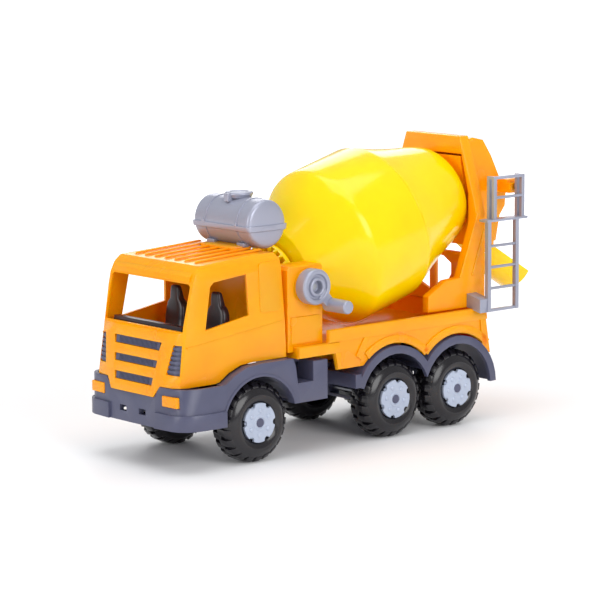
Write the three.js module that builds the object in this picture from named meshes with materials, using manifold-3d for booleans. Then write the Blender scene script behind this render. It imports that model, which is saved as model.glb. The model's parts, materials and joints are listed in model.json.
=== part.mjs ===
// Toy cement mixer lorry: cab, three axles, a tilted drum turned by a hand crank, a loading
// hopper with a tilting chute, and a ladder. Millimetres, +X to the front, +Y left, +Z up.
// While it is built, X = 0 is the front axle and Z = 0 the ground. The last lines move the
// whole group so that its origin is the bottom centre of its bounding box.
import * as THREE from "three";
import { mergeVertices } from "three/addons/utils/BufferGeometryUtils.js";
import Module from "manifold-3d";

const wasm = await Module();
wasm.setup();

// ---------------------------------------------------------------- driving dimensions
const gap = 0.3; // between pieces that rest on or fit into each other
const running = 0.08; // radial clearance of a shaft in its bore
const wall = 2.5; // moulded shells

const middleAxle = 155; // front axle to middle axle
const rearAxle = 230.2; // front axle to rear axle
const tyreRadius = 34.6;
const tyreWidth = 28;
const hubFace = 66.3; // centre plane to the outer face of a hub disc
const hubRadius = 17;
const axleRadius = 2;

const chassisHalf = 22; // half width of the chassis channel
const chassisTop = 66;
const chassisBottom = 46;

const cabHalf = 58; // half width of the cab at its waist
const cabRoofHalf = 55;
const cabRear = -36;
const waist = 117; // height of the bottom of the windscreen
const roofFront = 171;
const roofRear = 175.5;

const bumperFront = 84;
const bumperBottom = 36.5;
const bumperHalf = 67;
const bumperDip = 62; // height of the bumper's top edge under the grille
const bumperShoulder = 71.5; // and beside it, over the lamps
const fenderTop = 85;
const frontArch = 39.5; // radius of the front wheel opening

const bodyHalf = 64;
const bodyTop = 104;
const bodyFloor = 85;
const bodyRear = -273;
const bodyArch = 49.5;
const fenderOuter = 47.5;
const fenderInner = 40.5;

const towerTop = 161.5; // gear housing
const towerRear = -77;
const bayHalf = 35.5; // half width of the open bay that holds the drum's gear

const drumTilt = THREE.MathUtils.degToRad(16.1);
const crankX = -60; // the crank's axis, which the drum's axis passes through
const crankZ = 144;
const drumRadius = 72;
const drumWall = 2;
const bandStart = 73; // distances along the drum's axis from the crank's axis
const bandEnd = 132;
const drumRear = 214;
const neckRadius = 30;
const neckEnd = 226;
const spindleRadius = 4;

const gearTeeth = 24;
const pinionTeeth = 8;
const gearPitch = 24; // pitch radius of the crown gear
const addendum = 1.6;
const dedendum = 2.2;

const crankDisc = 15.4;
const crankFace = 60; // centre plane to the back of the crank's disc
const shaftRadius = 3;

const supportFront = -262;
const supportDepth = 11;
const supportTop = 256;
const supportTopHalf = 35;
const supportHalf = 57;
const hopperHalf = 36;

const tankX = -34;
const tankZ = 196.6;
const tankRadius = 21;
const tankHalf = 38.5;

const ladderY = 75;

// ---------------------------------------------------------------- materials
const finish = (color, roughness, metalness = 0) =>
  new THREE.MeshStandardMaterial({ color, roughness, metalness });
const orange = finish("#ffa200", 0.35);
const yellow = finish("#ffe600", 0.3);
const slate = finish("#52546a", 0.45);
const silver = finish("#a5a8b9", 0.4, 0.2);
const discSilver = finish("#b9c3d7", 0.4, 0.1);
const black = finish("#1e1c22", 0.25);
const darkSeat = finish("#2a1e24", 0.4);
const steel = finish("#9a9ca0", 0.3, 1);

// ---------------------------------------------------------------- solids
const root = new THREE.Group();

function solid(geometry) {
  const bare = geometry.clone();
  bare.deleteAttribute("normal");
  bare.deleteAttribute("uv");
  const merged = mergeVertices(bare, 1e-4);
  return new wasm.Manifold(
    new wasm.Mesh({
      numProp: 3,
      vertProperties: merged.attributes.position.array,
      triVerts: new Uint32Array(merged.index.array),
    }),
  );
}

function addPiece(name, shape, material, group = root) {
  const made = shape.getMesh();
  const geometry = new THREE.BufferGeometry();
  geometry.setAttribute("position", new THREE.BufferAttribute(made.vertProperties, 3));
  geometry.setIndex(new THREE.BufferAttribute(made.triVerts, 1));
  geometry.computeVertexNormals();
  const mesh = new THREE.Mesh(geometry, material);
  mesh.name = name;
  group.add(mesh);
  return mesh;
}

const join = (...parts) => parts.reduce((a, b) => a.add(b));
const cut = (body, ...tools) => tools.reduce((a, b) => a.subtract(b), body);

function box(x0, x1, y0, y1, z0, z1) {
  const g = new THREE.BoxGeometry(x1 - x0, y1 - y0, z1 - z0);
  g.translate((x0 + x1) / 2, (y0 + y1) / 2, (z0 + z1) / 2);
  return solid(g);
}

function shapeOf(points) {
  return new THREE.Shape(points.map(([u, v]) => new THREE.Vector2(u, v)));
}

function extrude(points, depth, matrix) {
  const g = new THREE.ExtrudeGeometry(shapeOf(points), { depth, bevelEnabled: false });
  g.applyMatrix4(matrix);
  return solid(g);
}

// An (x, z) outline drawn through from y0 to y1.
function alongY(points, y0, y1) {
  const m = new THREE.Matrix4().makeRotationX(Math.PI / 2).setPosition(0, y1, 0);
  return extrude(points, y1 - y0, m);
}

// A (y, z) outline drawn through from x0 to x1.
function alongX(points, x0, x1) {
  const m = new THREE.Matrix4().makeBasis(
    new THREE.Vector3(0, 1, 0),
    new THREE.Vector3(0, 0, 1),
    new THREE.Vector3(1, 0, 0),
  );
  return extrude(points, x1 - x0, m.setPosition(x0, 0, 0));
}

// An (x, y) outline drawn through from z0 to z1.
function alongZ(points, z0, z1) {
  return extrude(points, z1 - z0, new THREE.Matrix4().makeTranslation(0, 0, z0));
}

// A turned solid: profile points are [radius, distance along the axis], the distance rising.
function turned(profile, segments, matrix, turn = 0) {
  const points = profile.map(([r, h]) => new THREE.Vector2(r, h));
  const g = new THREE.LatheGeometry(points, segments);
  g.rotateY(turn);
  g.applyMatrix4(matrix);
  return solid(g);
}

const rod = (r, h0, h1) => [
  [0, h0],
  [r, h0],
  [r, h1],
  [0, h1],
];

const yAxisAt = (x, z, y = 0) => new THREE.Matrix4().makeTranslation(x, y, z);
const zAxisAt = (x, y, z = 0) =>
  new THREE.Matrix4().makeRotationX(Math.PI / 2).setPosition(x, y, z);
const xAxisAt = (y, z, x = 0) =>
  new THREE.Matrix4().makeRotationZ(-Math.PI / 2).setPosition(x, y, z);

const mirrored = (points) => [...points, ...points.map(([u, v]) => [-u, v]).reverse()];
const flipY = (shape) => shape.mirror([0, 1, 0]);

// A bore's corner radius, so that its flats clear a shaft of this radius by the running fit.
const bearingSides = 16;
const bearing = (shaft) => (shaft + running) / Math.cos(Math.PI / bearingSides);

function arc(cx, cz, r, from, to, steps) {
  const points = [];
  for (let i = 0; i <= steps; i++) {
    const a = THREE.MathUtils.degToRad(from + ((to - from) * i) / steps);
    points.push([cx + r * Math.cos(a), cz + r * Math.sin(a)]);
  }
  return points;
}

// A closed outline moved inwards by d, each corner along its mitre.
function inset(points, d) {
  const area = points.reduce((sum, [x, y], i) => {
    const [u, v] = points[(i + 1) % points.length];
    return sum + x * v - u * y;
  }, 0);
  const side = area > 0 ? 1 : -1;
  const n = points.length;
  return points.map(([x, y], i) => {
    const before = points[(i + n - 1) % n];
    const after = points[(i + 1) % n];
    const a = new THREE.Vector2(x - before[0], y - before[1]).normalize();
    const b = new THREE.Vector2(after[0] - x, after[1] - y).normalize();
    const na = new THREE.Vector2(-a.y, a.x).multiplyScalar(side);
    const nb = new THREE.Vector2(-b.y, b.x).multiplyScalar(side);
    const mitre = na.clone().add(nb);
    const reach = (2 * d) / mitre.lengthSq();
    return [x + mitre.x * reach, y + mitre.y * reach];
  });
}

// ---------------------------------------------------------------- chassis and axles
const axles = { front: 0, middle: -middleAxle, rear: -rearAxle };
const sides = [["left", 1], ["right", -1]];
const chassisFront = 66;
const chassisRear = bodyRear + 6;
const screws = [
  [24, 0],
  [-96, 0],
  [(axles.middle + axles.rear) / 2, 0],
  [chassisRear + 8, 0],
];
const screwHead = 3.2;
const screwShank = 1.4;
const lugHalf = 9;
const lugBottom = tyreRadius - 7;

function chassis() {
  const outline = [
    [chassisRear, chassisBottom],
    ...[axles.rear, axles.middle, axles.front].flatMap((x) => [
      [x - lugHalf, chassisBottom],
      [x - lugHalf + 3, lugBottom],
      [x + lugHalf - 3, lugBottom],
      [x + lugHalf, chassisBottom],
    ]),
    [chassisFront, chassisBottom],
    [chassisFront, chassisTop],
    [chassisRear, chassisTop],
  ];
  const sides = alongY(outline, -chassisHalf, chassisHalf);
  const channel = box(
    chassisRear + wall,
    chassisFront - wall,
    -chassisHalf + wall,
    chassisHalf - wall,
    lugBottom - 1,
    chassisTop - wall,
  );
  const bores = Object.values(axles).map((x) =>
    turned(rod(bearing(axleRadius), -40, 40), bearingSides, yAxisAt(x, tyreRadius)),
  );
  const holes = screws.map(([x, y]) =>
    turned(rod(screwShank + gap, chassisTop - 9, chassisTop + 1), 10, zAxisAt(x, y)),
  );
  const posts = screws.map(([x, y]) =>
    turned(rod(screwHead + 2, chassisTop - 8, chassisTop - 1), 10, zAxisAt(x, y)),
  );
  const recesses = screws.map(([x, y]) =>
    turned(rod(screwHead + gap + 0.2, chassisTop - 9, chassisTop - 4), 10, zAxisAt(x, y)),
  );
  return cut(join(cut(sides, channel), ...posts), ...bores, ...holes, ...recesses);
}
addPiece("chassis_frame", chassis(), slate);

screws.forEach(([x, y], i) => {
  const head = turned(rod(screwHead, chassisTop - 7, chassisTop - 4 - gap), 12, zAxisAt(x, y));
  const shank = turned(rod(screwShank, chassisTop - 5, chassisTop + 10), 8, zAxisAt(x, y));
  addPiece("chassis_screw_" + (i + 1), join(head, shank), steel);
});

// A clip in the channel at each axle: a floor under the axle and two cheeks that hold it.
const clipHalf = chassisHalf - wall - gap;
const clipCheek = 4;
function axleClip(x) {
  const section = [
    [-clipHalf, lugBottom],
    [clipHalf, lugBottom],
    [clipHalf, chassisTop - wall - gap],
    [clipHalf - clipCheek, chassisTop - wall - gap],
    [clipHalf - clipCheek, lugBottom + wall],
    [-clipHalf + clipCheek, lugBottom + wall],
    [-clipHalf + clipCheek, chassisTop - wall - gap],
    [-clipHalf, chassisTop - wall - gap],
  ];
  const bore = turned(
    rod(bearing(axleRadius), -30, 30),
    bearingSides,
    yAxisAt(x, tyreRadius),
  );
  return cut(alongX(section, x - 6, x + 6), bore);
}

// ---------------------------------------------------------------- wheels
const tyreOuter = hubFace - 0.3;
const tyreInner = tyreOuter - tyreWidth;
const tyreSides = 20;
const discPocket = 2.2; // depth of the pocket in the tyre that takes the hub disc

function tyre(x) {
  const r = tyreRadius / Math.cos(Math.PI / tyreSides);
  const bore = axleRadius + gap;
  const seat = hubRadius + gap;
  const profile = [
    [bore, tyreInner + 6],
    [r * 0.55, tyreInner + 6],
    [r * 0.62, tyreInner],
    [r * 0.88, tyreInner],
    [r, tyreInner + 6],
    [r, tyreOuter - 8],
    [r * 0.93, tyreOuter - 3],
    [r * 0.66, tyreOuter],
    [seat, tyreOuter - 1.5],
    [seat, tyreOuter - 1.5 - discPocket],
    [bore, tyreOuter - 1.5 - discPocket],
    [bore, tyreInner + 6],
  ];
  return turned(profile, tyreSides, yAxisAt(x, tyreRadius), Math.PI / tyreSides);
}

const discBack = tyreOuter - 1.5 - discPocket + gap;
const capBack = discBack + 1.2;

const notches = 6;
const capHole = 4.3;

// A flat disc with round notches in its rim and a hole for the cap.
function hubDisc(x) {
  const rim = [];
  for (let i = 0; i < notches; i++) {
    const a = (360 * i) / notches;
    rim.push(...arc(x, tyreRadius, hubRadius, a + 9, a + 360 / notches - 9, 4));
    const b = THREE.MathUtils.degToRad(a + 360 / notches);
    rim.push([x + (hubRadius - 1.9) * Math.cos(b), tyreRadius + (hubRadius - 1.9) * Math.sin(b)]);
  }
  const hole = turned(rod(capHole, 0, 90), 12, yAxisAt(x, tyreRadius));
  return cut(alongY(rim, discBack, hubFace), hole);
}

const hubCap = [
  [0, capBack - 1.4],
  [4, capBack - 1.4],
  [4, hubFace - 0.8],
  [3, hubFace - 0.2],
  [0, hubFace],
];

for (const [name, x] of Object.entries(axles)) {
  addPiece("axle_clip_" + name, axleClip(x), slate);
  const axle = turned(rod(axleRadius, -discBack + gap, discBack - gap), 16, yAxisAt(x, tyreRadius));
  addPiece("axle_" + name, axle, steel);
  for (const [label, side] of sides) {
    const facing = (shape) => (side > 0 ? shape : flipY(shape));
    addPiece("tyre_" + name + "_" + label, facing(tyre(x)), black);
    addPiece("hub_disc_" + name + "_" + label, facing(hubDisc(x)), discSilver);
    const cap = turned(hubCap, 12, yAxisAt(x, tyreRadius));
    addPiece("hub_cap_" + name + "_" + label, facing(cap), slate);
  }
}

// ---------------------------------------------------------------- bumper, fenders and steps
const axleZ = tyreRadius;
const bumperCorner = [
  [bumperFront, 0],
  [bumperFront - 0.4, 30],
  [bumperFront - 2, 52],
  [bumperFront - 4, 58],
  [bumperFront - 8.5, 62.8],
  [bumperFront - 15, bumperHalf - 1.2],
  [bumperFront - 24, bumperHalf],
  [30, bumperHalf],
];
const fenderEnd = -36;
const stepFront = -44;
const stepRear = -75;
const stepTop = 80;
const stepBottom = 46;
const bandStep = 2.2; // how far the lower band of the bumper stands out
const bandTop = 50;
const recessHalf = 31;
const fenderFoot = 58.6; // inner side of the fender's outer band

const lamp = { y0: 39.5, y1: 58, z0: 56, z1: 65, depth: 5 };
const towHole = { y: 13, halfWidth: 4.6, z0: 45, z1: 50 };

function bumperPlan(grow) {
  const half = inset(mirrored(bumperCorner.map(([x, y]) => [y, x])), -grow);
  return half.map(([y, x]) => [x, y]);
}

function bumperRing(grow, z0, z1) {
  const outer = alongZ(bumperPlan(grow), z0, z1);
  const inner = alongZ(bumperPlan(grow - 3), z0 - 1, z1 + 1);
  return cut(outer, inner, box(0, 38, -90, 90, z0 - 1, z1 + 1));
}

function fenderBand() {
  const top = [
    [37.6, bumperBottom],
    [40.5, bumperBottom],
    [41, bumperShoulder],
    [37, bumperShoulder + 0.6],
    [27, bumperShoulder + 7],
    [14, bumperShoulder + 12],
    [0, fenderTop],
    [fenderEnd, fenderTop],
    [fenderEnd - 3, fenderTop - 7],
    [-43.5, stepBottom],
  ];
  const arch = arc(0, axleZ, frontArch, 163, 3, 12);
  const outline = [...top, ...arch];
  const band = alongY(outline, fenderFoot, bumperHalf);
  // the liner over the wheel, which joins the band to the chassis
  const liner = [
    ...arc(0, axleZ, frontArch + wall, 12, 158, 10),
    ...arc(0, axleZ, frontArch, 158, 12, 10),
  ];
  return join(band, alongY(liner, chassisHalf + gap, bumperHalf - 1));
}

function stepBox() {
  const shell = box(stepRear, stepFront + 3, 40, bumperHalf - 0.5, stepBottom, stepTop);
  const hollow = box(stepRear + wall, stepFront, 42, bumperHalf - 3, stepBottom - 1, stepTop - wall);
  const notch = box(-59, stepFront + 4, 48, bumperHalf + 1, 63, stepTop + 1);
  const shelf = box(-59 - wall, stepFront, 46, bumperHalf - 1, 63 - wall, 63);
  const riser = box(-59 - wall, -59, 46, bumperHalf - 1, 63 - wall, stepTop - 1);
  return cut(join(cut(shell, hollow), shelf, riser), notch);
}

function bumper() {
  const upper = bumperRing(0, bumperBottom, bumperShoulder);
  const dip = alongX(
    [
      [-29, bumperDip],
      [29, bumperDip],
      [36, bumperShoulder],
      [36, 90],
      [-36, 90],
      [-36, bumperShoulder],
    ],
    50,
    100,
  );
  const band = cut(
    bumperRing(bandStep, bumperBottom, bandTop),
    box(60, 100, -recessHalf, recessHalf, bumperBottom - 1, bandTop + 1),
  );
  const back = box(chassisFront + gap, chassisFront + 3, -bumperHalf + 3, bumperHalf - 3, 44, 60);
  const webs = [-30, 30].map((y) => box(chassisFront + 1, bumperFront - 2, y - 1, y + 1, 44, 60));
  const sides = [fenderBand(), stepBox()];
  const both = sides.flatMap((s) => [s, flipY(s)]);
  const lamps = [1, -1].map((s) =>
    box(
      bumperFront - lamp.depth - 3,
      bumperFront + 2,
      Math.min(s * lamp.y0, s * lamp.y1) - gap,
      Math.max(s * lamp.y0, s * lamp.y1) + gap,
      lamp.z0 - gap,
      lamp.z1 + gap,
    ),
  );
  const tows = [1, -1].map((s) =>
    box(
      70,
      bumperFront + 4,
      s * towHole.y - towHole.halfWidth,
      s * towHole.y + towHole.halfWidth,
      towHole.z0,
      towHole.z1,
    ),
  );
  return cut(join(upper, band, back, ...webs, ...both), dip, ...lamps, ...tows);
}
addPiece("front_bumper", bumper(), slate);

for (const [label, s] of sides) {
  const plan = [
    [bumperFront - lamp.depth, lamp.y0],
    [bumperFront - 0.2, lamp.y0],
    [bumperFront - 1.2, lamp.y1],
    [bumperFront - lamp.depth, lamp.y1],
  ];
  const made = alongZ(plan, lamp.z0, lamp.z1);
  addPiece("headlamp_" + label, s > 0 ? made : flipY(made), orange);
}

function rearFender() {
  const middle = axles.middle;
  const rear = axles.rear;
  const meet = (middle + rear) / 2;
  const half = (middle - rear) / 2;
  const a = THREE.MathUtils.radToDeg(Math.acos(half / fenderOuter));
  const b = THREE.MathUtils.radToDeg(Math.acos(half / fenderInner));
  const outline = (inner, lowB) => [
    ...arc(middle, axleZ, fenderOuter, 20, 180 - a, 12),
    ...arc(rear, axleZ, fenderOuter, a, 178, 14),
    ...arc(rear, axleZ, inner, 178, lowB, 12),
    ...arc(middle, axleZ, inner, 180 - lowB, 20, 12),
  ];
  const lip = alongY(outline(fenderInner, b), bodyHalf - 1, bumperHalf);
  const c = THREE.MathUtils.radToDeg(Math.acos(half / (fenderOuter - 3)));
  const shell = alongY(outline(fenderOuter - 3, c), chassisHalf + gap, bodyHalf + 1);
  const tie = box(meet - 3, meet + 3, chassisHalf + gap, bodyHalf, axleZ + 22, axleZ + 27);
  const front = box(middle + 41, middle + 48, chassisHalf + gap, bumperHalf, 50, 62);
  return join(lip, shell, tie, front);
}
addPiece("rear_fender_left", rearFender(), slate);
addPiece("rear_fender_right", flipY(rearFender()), slate);

// ---------------------------------------------------------------- cab
const cabFrontLow = 84.6; // x of the front face at the bumper's dip
const cabFrontWaist = 76;
const ledge = 4; // the windscreen stands back from the grille panel by this
const screenTop = 156.6;
const cabProfile = [
  [cabFrontLow, bumperDip + 0.4],
  [cabFrontWaist, waist - 1],
  [cabFrontWaist - ledge, waist],
  [cabFrontWaist - ledge - 9.5, screenTop],
  [cabFrontWaist - ledge - 14, 166],
  [cabFrontWaist - ledge - 19, roofFront],
  [-24, roofRear],
  [-29, roofRear - 1],
  [-32.5, roofRear - 6],
  [cabRear, bodyFloor],
  [cabRear, 84],
  [cabRear + 1, bumperDip + 0.4],
];
const cabSection = mirrored([
  [cabHalf, bumperDip],
  [cabHalf, waist - 2],
  [cabRoofHalf + 0.6, 164],
  [cabRoofHalf - 1.5, 170.5],
  [cabRoofHalf - 5, roofRear - 1],
  [0, roofRear + 1.5],
]);
const cabPlan = mirrored([
  [0, cabFrontLow + 1],
  [30, cabFrontLow],
  [cabHalf - 8, cabFrontLow - 2],
  [cabHalf - 2.5, cabFrontLow - 6],
  [cabHalf, cabFrontLow - 13],
  [cabHalf, cabRear - 1],
  [0, cabRear - 1],
]).map(([y, x]) => [x, y]);

// The front corners are rounded at every height, so the plan leans back with the front face.
function leaning(points, z0, z1, shift) {
  const m = new THREE.Matrix4().set(1, 0, -shift, shift * z0, 0, 1, 0, 0, 0, 0, 1, 0, 0, 0, 0, 1);
  return solid(
    new THREE.ExtrudeGeometry(shapeOf(points), { depth: z1 - z0, bevelEnabled: false })
      .translate(0, 0, z0)
      .applyMatrix4(m),
  );
}

function cabBlock(shrink) {
  const profile = shrink ? inset(cabProfile, shrink) : cabProfile;
  const section = shrink ? inset(cabSection, shrink) : cabSection;
  const plan = shrink ? inset(cabPlan, shrink) : cabPlan;
  const lean = (cabFrontLow - cabFrontWaist + ledge + 19) / (roofFront - bumperDip);
  return alongY(profile, -70, 70)
    .intersect(alongX(section, cabRear - 5, cabFrontLow + 5))
    .intersect(leaning(plan, bumperDip - 1, roofRear + 3, lean * 0.55));
}

const grilleSlots = [
  { z0: 100.6, z1: 107.6, top: 32, bottom: 30 },
  { z0: 86, z1: 92.4, top: 29, bottom: 28 },
  { z0: 71.1, z1: 77.8, top: 26, bottom: 25 },
];

function cabShell() {
  const outside = cabBlock(0);
  const inside = cabBlock(wall);
  const belowFloor = bumperDip + wall + 1;
  const under = box(cabRear + wall, cabFrontLow - 6, wall - cabHalf, cabHalf - wall, 50, belowFloor);
  const sideWindow = [
    [51.3, waist + 0.6],
    [44.5, 153],
    [40.5, screenTop],
    [5.2, 160],
    [4, 125.3],
  ];
  const screen = mirrored([
    [53, waist + 0.8],
    [52.8, screenTop - 2],
    [50.6, screenTop],
  ]);
  const slots = grilleSlots.map((s) =>
    alongX(
      mirrored([
        [s.bottom, s.z0],
        [s.top, s.z1],
      ]),
      60,
      100,
    ),
  );
  const vent = [
    [45.9, 107.1],
    [53.6, 106.8],
    [54.4, 81.8],
    [40.9, 82.3],
  ];
  const vents = [1, -1].map((s) =>
    alongX(
      vent.map(([y, z]) => [s * y, z]),
      58,
      100,
    ),
  );
  const overBumper = alongX(
    [
      [-90, 40],
      [90, 40],
      [90, bumperShoulder + 0.4],
      [35.6, bumperShoulder + 0.4],
      [28.6, bumperDip + 0.4],
      [-28.6, bumperDip + 0.4],
      [-35.6, bumperShoulder + 0.4],
      [-90, bumperShoulder + 0.4],
    ],
    30,
    110,
  );
  const overFender = alongY(
    [
      [41.5, 40],
      [41.5, bumperShoulder + 0.4],
      [37.2, bumperShoulder + 1.2],
      [27.2, bumperShoulder + 7.8],
      [14.2, bumperShoulder + 12.8],
      [0, fenderTop + 0.4],
      [-60, fenderTop + 0.4],
      [-60, 40],
    ],
    -90,
    90,
  );
  const screens = [alongX(screen, 30, 100), alongY(sideWindow, -90, 90)];
  return cut(outside, inside, under, ...screens, ...slots, ...vents, overBumper, overFender);
}
addPiece("cab_shell", cabShell(), orange);

// Dark panel behind the slots in the front, parallel to it.
function grilleInsert() {
  const lean = (cabFrontLow - cabFrontWaist) / (waist - 1 - bumperDip);
  const x = (z) => cabFrontLow - (z - bumperDip) * lean;
  const face = (z, back) => [x(z) - back, z];
  const sheet = alongY(
    [face(73, wall), face(110, wall), face(110, wall + 5), face(73, wall + 5)],
    -cabHalf,
    cabHalf,
  );
  const bars = grilleSlots.map((s) =>
    alongY(
      [
        face(s.z0 + 0.5, 1),
        face(s.z1 - 0.5, 1),
        face(s.z1 - 0.5, wall + 2),
        face(s.z0 + 0.5, wall + 2),
      ],
      -s.bottom + 0.5,
      s.bottom - 0.5,
    ),
  );
  return join(sheet.intersect(cabBlock(wall + gap)), ...bars);
}
addPiece("grille_insert", grilleInsert(), slate);

const floorTop = fenderTop + 4;
const seatX = 20;
const seatY = 27.5;

function cabInterior() {
  const floor = box(cabRear + wall + gap, 62, -cabHalf + 4, cabHalf - 4, fenderTop + 0.8, floorTop);
  const dash = alongY(
    [
      [56, floorTop - 1],
      [60, floorTop - 1],
      [68.2, waist - 3],
      [66.6, waist + 3.6],
      [61, waist + 3.6],
      [58.5, waist - 4],
    ],
    -46,
    46,
  );
  const stems = [-1, 1].map((s) => box(-22, 50, s * 12 - 2, s * 12 + 2, chassisTop + gap, fenderTop + 1));
  const boss = turned(rod(5, chassisTop + gap, fenderTop + 1), 16, zAxisAt(...screws[0]));
  const pilot = turned(rod(screwShank + gap, chassisTop, chassisTop + 11), 16, zAxisAt(...screws[0]));
  const cross = box(screws[0][0] - 2, screws[0][0] + 2, -12, 12, chassisTop + 12, fenderTop + 1);
  return cut(join(floor, dash, ...stems, boss, cross), pilot);
}
addPiece("cab_interior", cabInterior(), darkSeat);

function seat(side) {
  const back = [
    [seatX - 13, floorTop + gap],
    [seatX + 16, floorTop + gap],
    [seatX + 15, floorTop + 14],
    [seatX, floorTop + 17],
    [seatX - 3, 131],
    [seatX - 3.5, 143],
    [seatX - 8, 143],
    [seatX - 12, 131],
  ];
  const front = mirrored([
    [12, floorTop - 1],
    [12.5, 116],
    [10.5, 128],
    [6.4, 132],
    [5.2, 144],
  ]).map(([y, z]) => [y + side * seatY, z]);
  return alongY(back, side * seatY - 20, side * seatY + 20).intersect(
    alongX(front, seatX - 30, seatX + 30),
  );
}
addPiece("seat_left", seat(1), darkSeat);
addPiece("seat_right", seat(-1), darkSeat);

// ---------------------------------------------------------------- tank on the roof
const tankSeam = 191;
const flange = 1.2;
const flangeTop = 196;
const tankWall = 2;

function tankSolid(grow) {
  const r = tankRadius + grow;
  const h = tankHalf + grow;
  return turned(
    [
      [0, -h],
      [r - 7, -h + 0.5],
      [r - 2.4, -h + 3.2],
      [r, -h + 8.5],
      [r, h - 8.5],
      [r - 2.4, h - 3.2],
      [r - 7, h - 0.5],
      [0, h],
    ],
    20,
    yAxisAt(tankX, tankZ),
  );
}

function tankUpper() {
  const rim = tankSolid(flange).intersect(box(-90, 30, -60, 60, tankSeam + gap, flangeTop));
  const dome = tankSolid(0).intersect(box(-90, 30, -60, 60, tankSeam + gap, 240));
  const hatchSeat = turned(rod(4, 200, 225), 20, zAxisAt(tankX, 0));
  return cut(join(dome, rim), tankSolid(-tankWall), hatchSeat);
}

function tankLower() {
  const bowl = tankSolid(0).intersect(box(-90, 30, -60, 60, 150, tankSeam));
  const feet = [-20, 20].map((y) =>
    box(tankX + 1, tankX + 16, y - 5, y + 5, roofRear + 1.6, tankZ - tankRadius + 5),
  );
  return cut(join(bowl, ...feet), tankSolid(-tankWall));
}
addPiece("tank_upper_shell", tankUpper(), silver);
addPiece("tank_lower_shell", tankLower(), silver);

function tankHatch() {
  const z = tankZ + tankRadius;
  const lid = turned(
    [
      [0, z + gap],
      [11, z + gap],
      [12, z + 1.6],
      [12, z + 3],
      [11, z + 4],
      [7.5, z + 4.4],
      [7, z + 3.6],
      [0, z + 3.6],
    ],
    28,
    zAxisAt(tankX, 0),
  );
  const plug = turned(rod(4 - gap, z - 5, z + 1), 20, zAxisAt(tankX, 0));
  return join(lid, plug);
}
const hatchBlock = box(tankX + 11, tankX + 15, -3, 3, tankZ + 17, tankZ + tankRadius + 3.4);
const plugHole = turned(rod(4, 200, 225), 20, zAxisAt(tankX, 0));
const hatchClear = tankSolid(gap).subtract(plugHole);
addPiece("tank_hatch", cut(join(tankHatch(), hatchBlock), hatchClear), silver);

// ---------------------------------------------------------------- mixer body
const bodyFront = -44;
const bandLow = 83;
const bandHigh = 93;
const skirtLow = 68.5;
const bodyRearTop = -266;

function bodySide() {
  const middle = axles.middle;
  const rear = axles.rear;
  const half = (middle - rear) / 2;
  const rise = (z) => THREE.MathUtils.radToDeg(Math.asin((z - axleZ) / bodyArch));
  const valley = THREE.MathUtils.radToDeg(Math.acos((half - 5) / bodyArch));
  return [
    [bodyFront, bandHigh],
    [bodyFront, bandLow],
    [-85, bandLow],
    [-88, skirtLow],
    ...arc(middle, axleZ, bodyArch, rise(skirtLow), 180 - valley, 10),
    ...arc(rear, axleZ, bodyArch, valley, 180 - rise(62), 10),
    [bodyRear, 62],
    [bodyRearTop, bodyTop],
    [towerRear - 1, bodyTop],
    [towerRear - 1, bandHigh],
  ];
}

function mixerBody() {
  const side = alongY(bodySide(), bodyHalf - wall, bodyHalf);
  const floor = box(bodyRear + 6, bodyFront, -bodyHalf + 1, bodyHalf - 1, bodyFloor, bodyFloor + 3);
  const rear = alongY(
    [
      [bodyRear, 62],
      [bodyRear + wall, 62],
      [bodyRearTop + wall, bodyTop],
      [bodyRearTop, bodyTop],
    ],
    -bodyHalf,
    bodyHalf,
  );
  const front = box(bodyFront - wall, bodyFront, -bodyHalf, bodyHalf, bandLow, bodyFloor + 3);
  const corner = box(bodyFront - wall, bodyFront, cabHalf + gap, bodyHalf, bandLow, bandHigh);
  const shelf = box(towerRear - gap, bodyFront, cabHalf + gap, bodyHalf, bandHigh - wall, bandHigh);
  const ribs = [-1, 1].map((s) =>
    box(chassisRear, -80, s * 13 - 1.2, s * 13 + 1.2, chassisTop + gap, bodyFloor + 1),
  );
  const bosses = screws.slice(1).map(([x, y]) =>
    turned(rod(5, chassisTop + gap, bodyFloor + 1), 10, zAxisAt(x, y)),
  );
  const crossRibs = screws.slice(1).map(([x]) =>
    box(x - 1.2, x + 1.2, -bodyHalf + 1, bodyHalf - 1, bodyFloor - 1.5, bodyFloor + 1),
  );
  const pilots = screws.slice(1).map(([x, y]) =>
    turned(rod(screwShank + gap, chassisTop, chassisTop + 11), 10, zAxisAt(x, y)),
  );
  const half = [side, corner, shelf];
  const all = join(floor, rear, front, ...half, ...half.map(flipY), ...ribs, ...bosses, ...crossRibs);
  return cut(all, ...pilots);
}
addPiece("mixer_body", mixerBody(), orange);

// ---------------------------------------------------------------- drum frame of reference
// Local +Y of this frame runs along the drum's axis, to the rear and up, from the crank's axis.
const drumAxis = new THREE.Vector3(-Math.cos(drumTilt), 0, Math.sin(drumTilt));
const drumUp = new THREE.Vector3(Math.sin(drumTilt), 0, Math.cos(drumTilt));
const drumFrame = new THREE.Matrix4()
  .makeBasis(new THREE.Vector3(0, 1, 0), drumAxis, drumUp.clone())
  .setPosition(crankX, 0, crankZ);

// ---------------------------------------------------------------- gear housing
const housingBottom = bodyFloor + 3 + gap;
const housingFront = cabRear - 2;
const bossRadius = 8;
const bossEnd = -11;
const spindleStart = -17;

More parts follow.
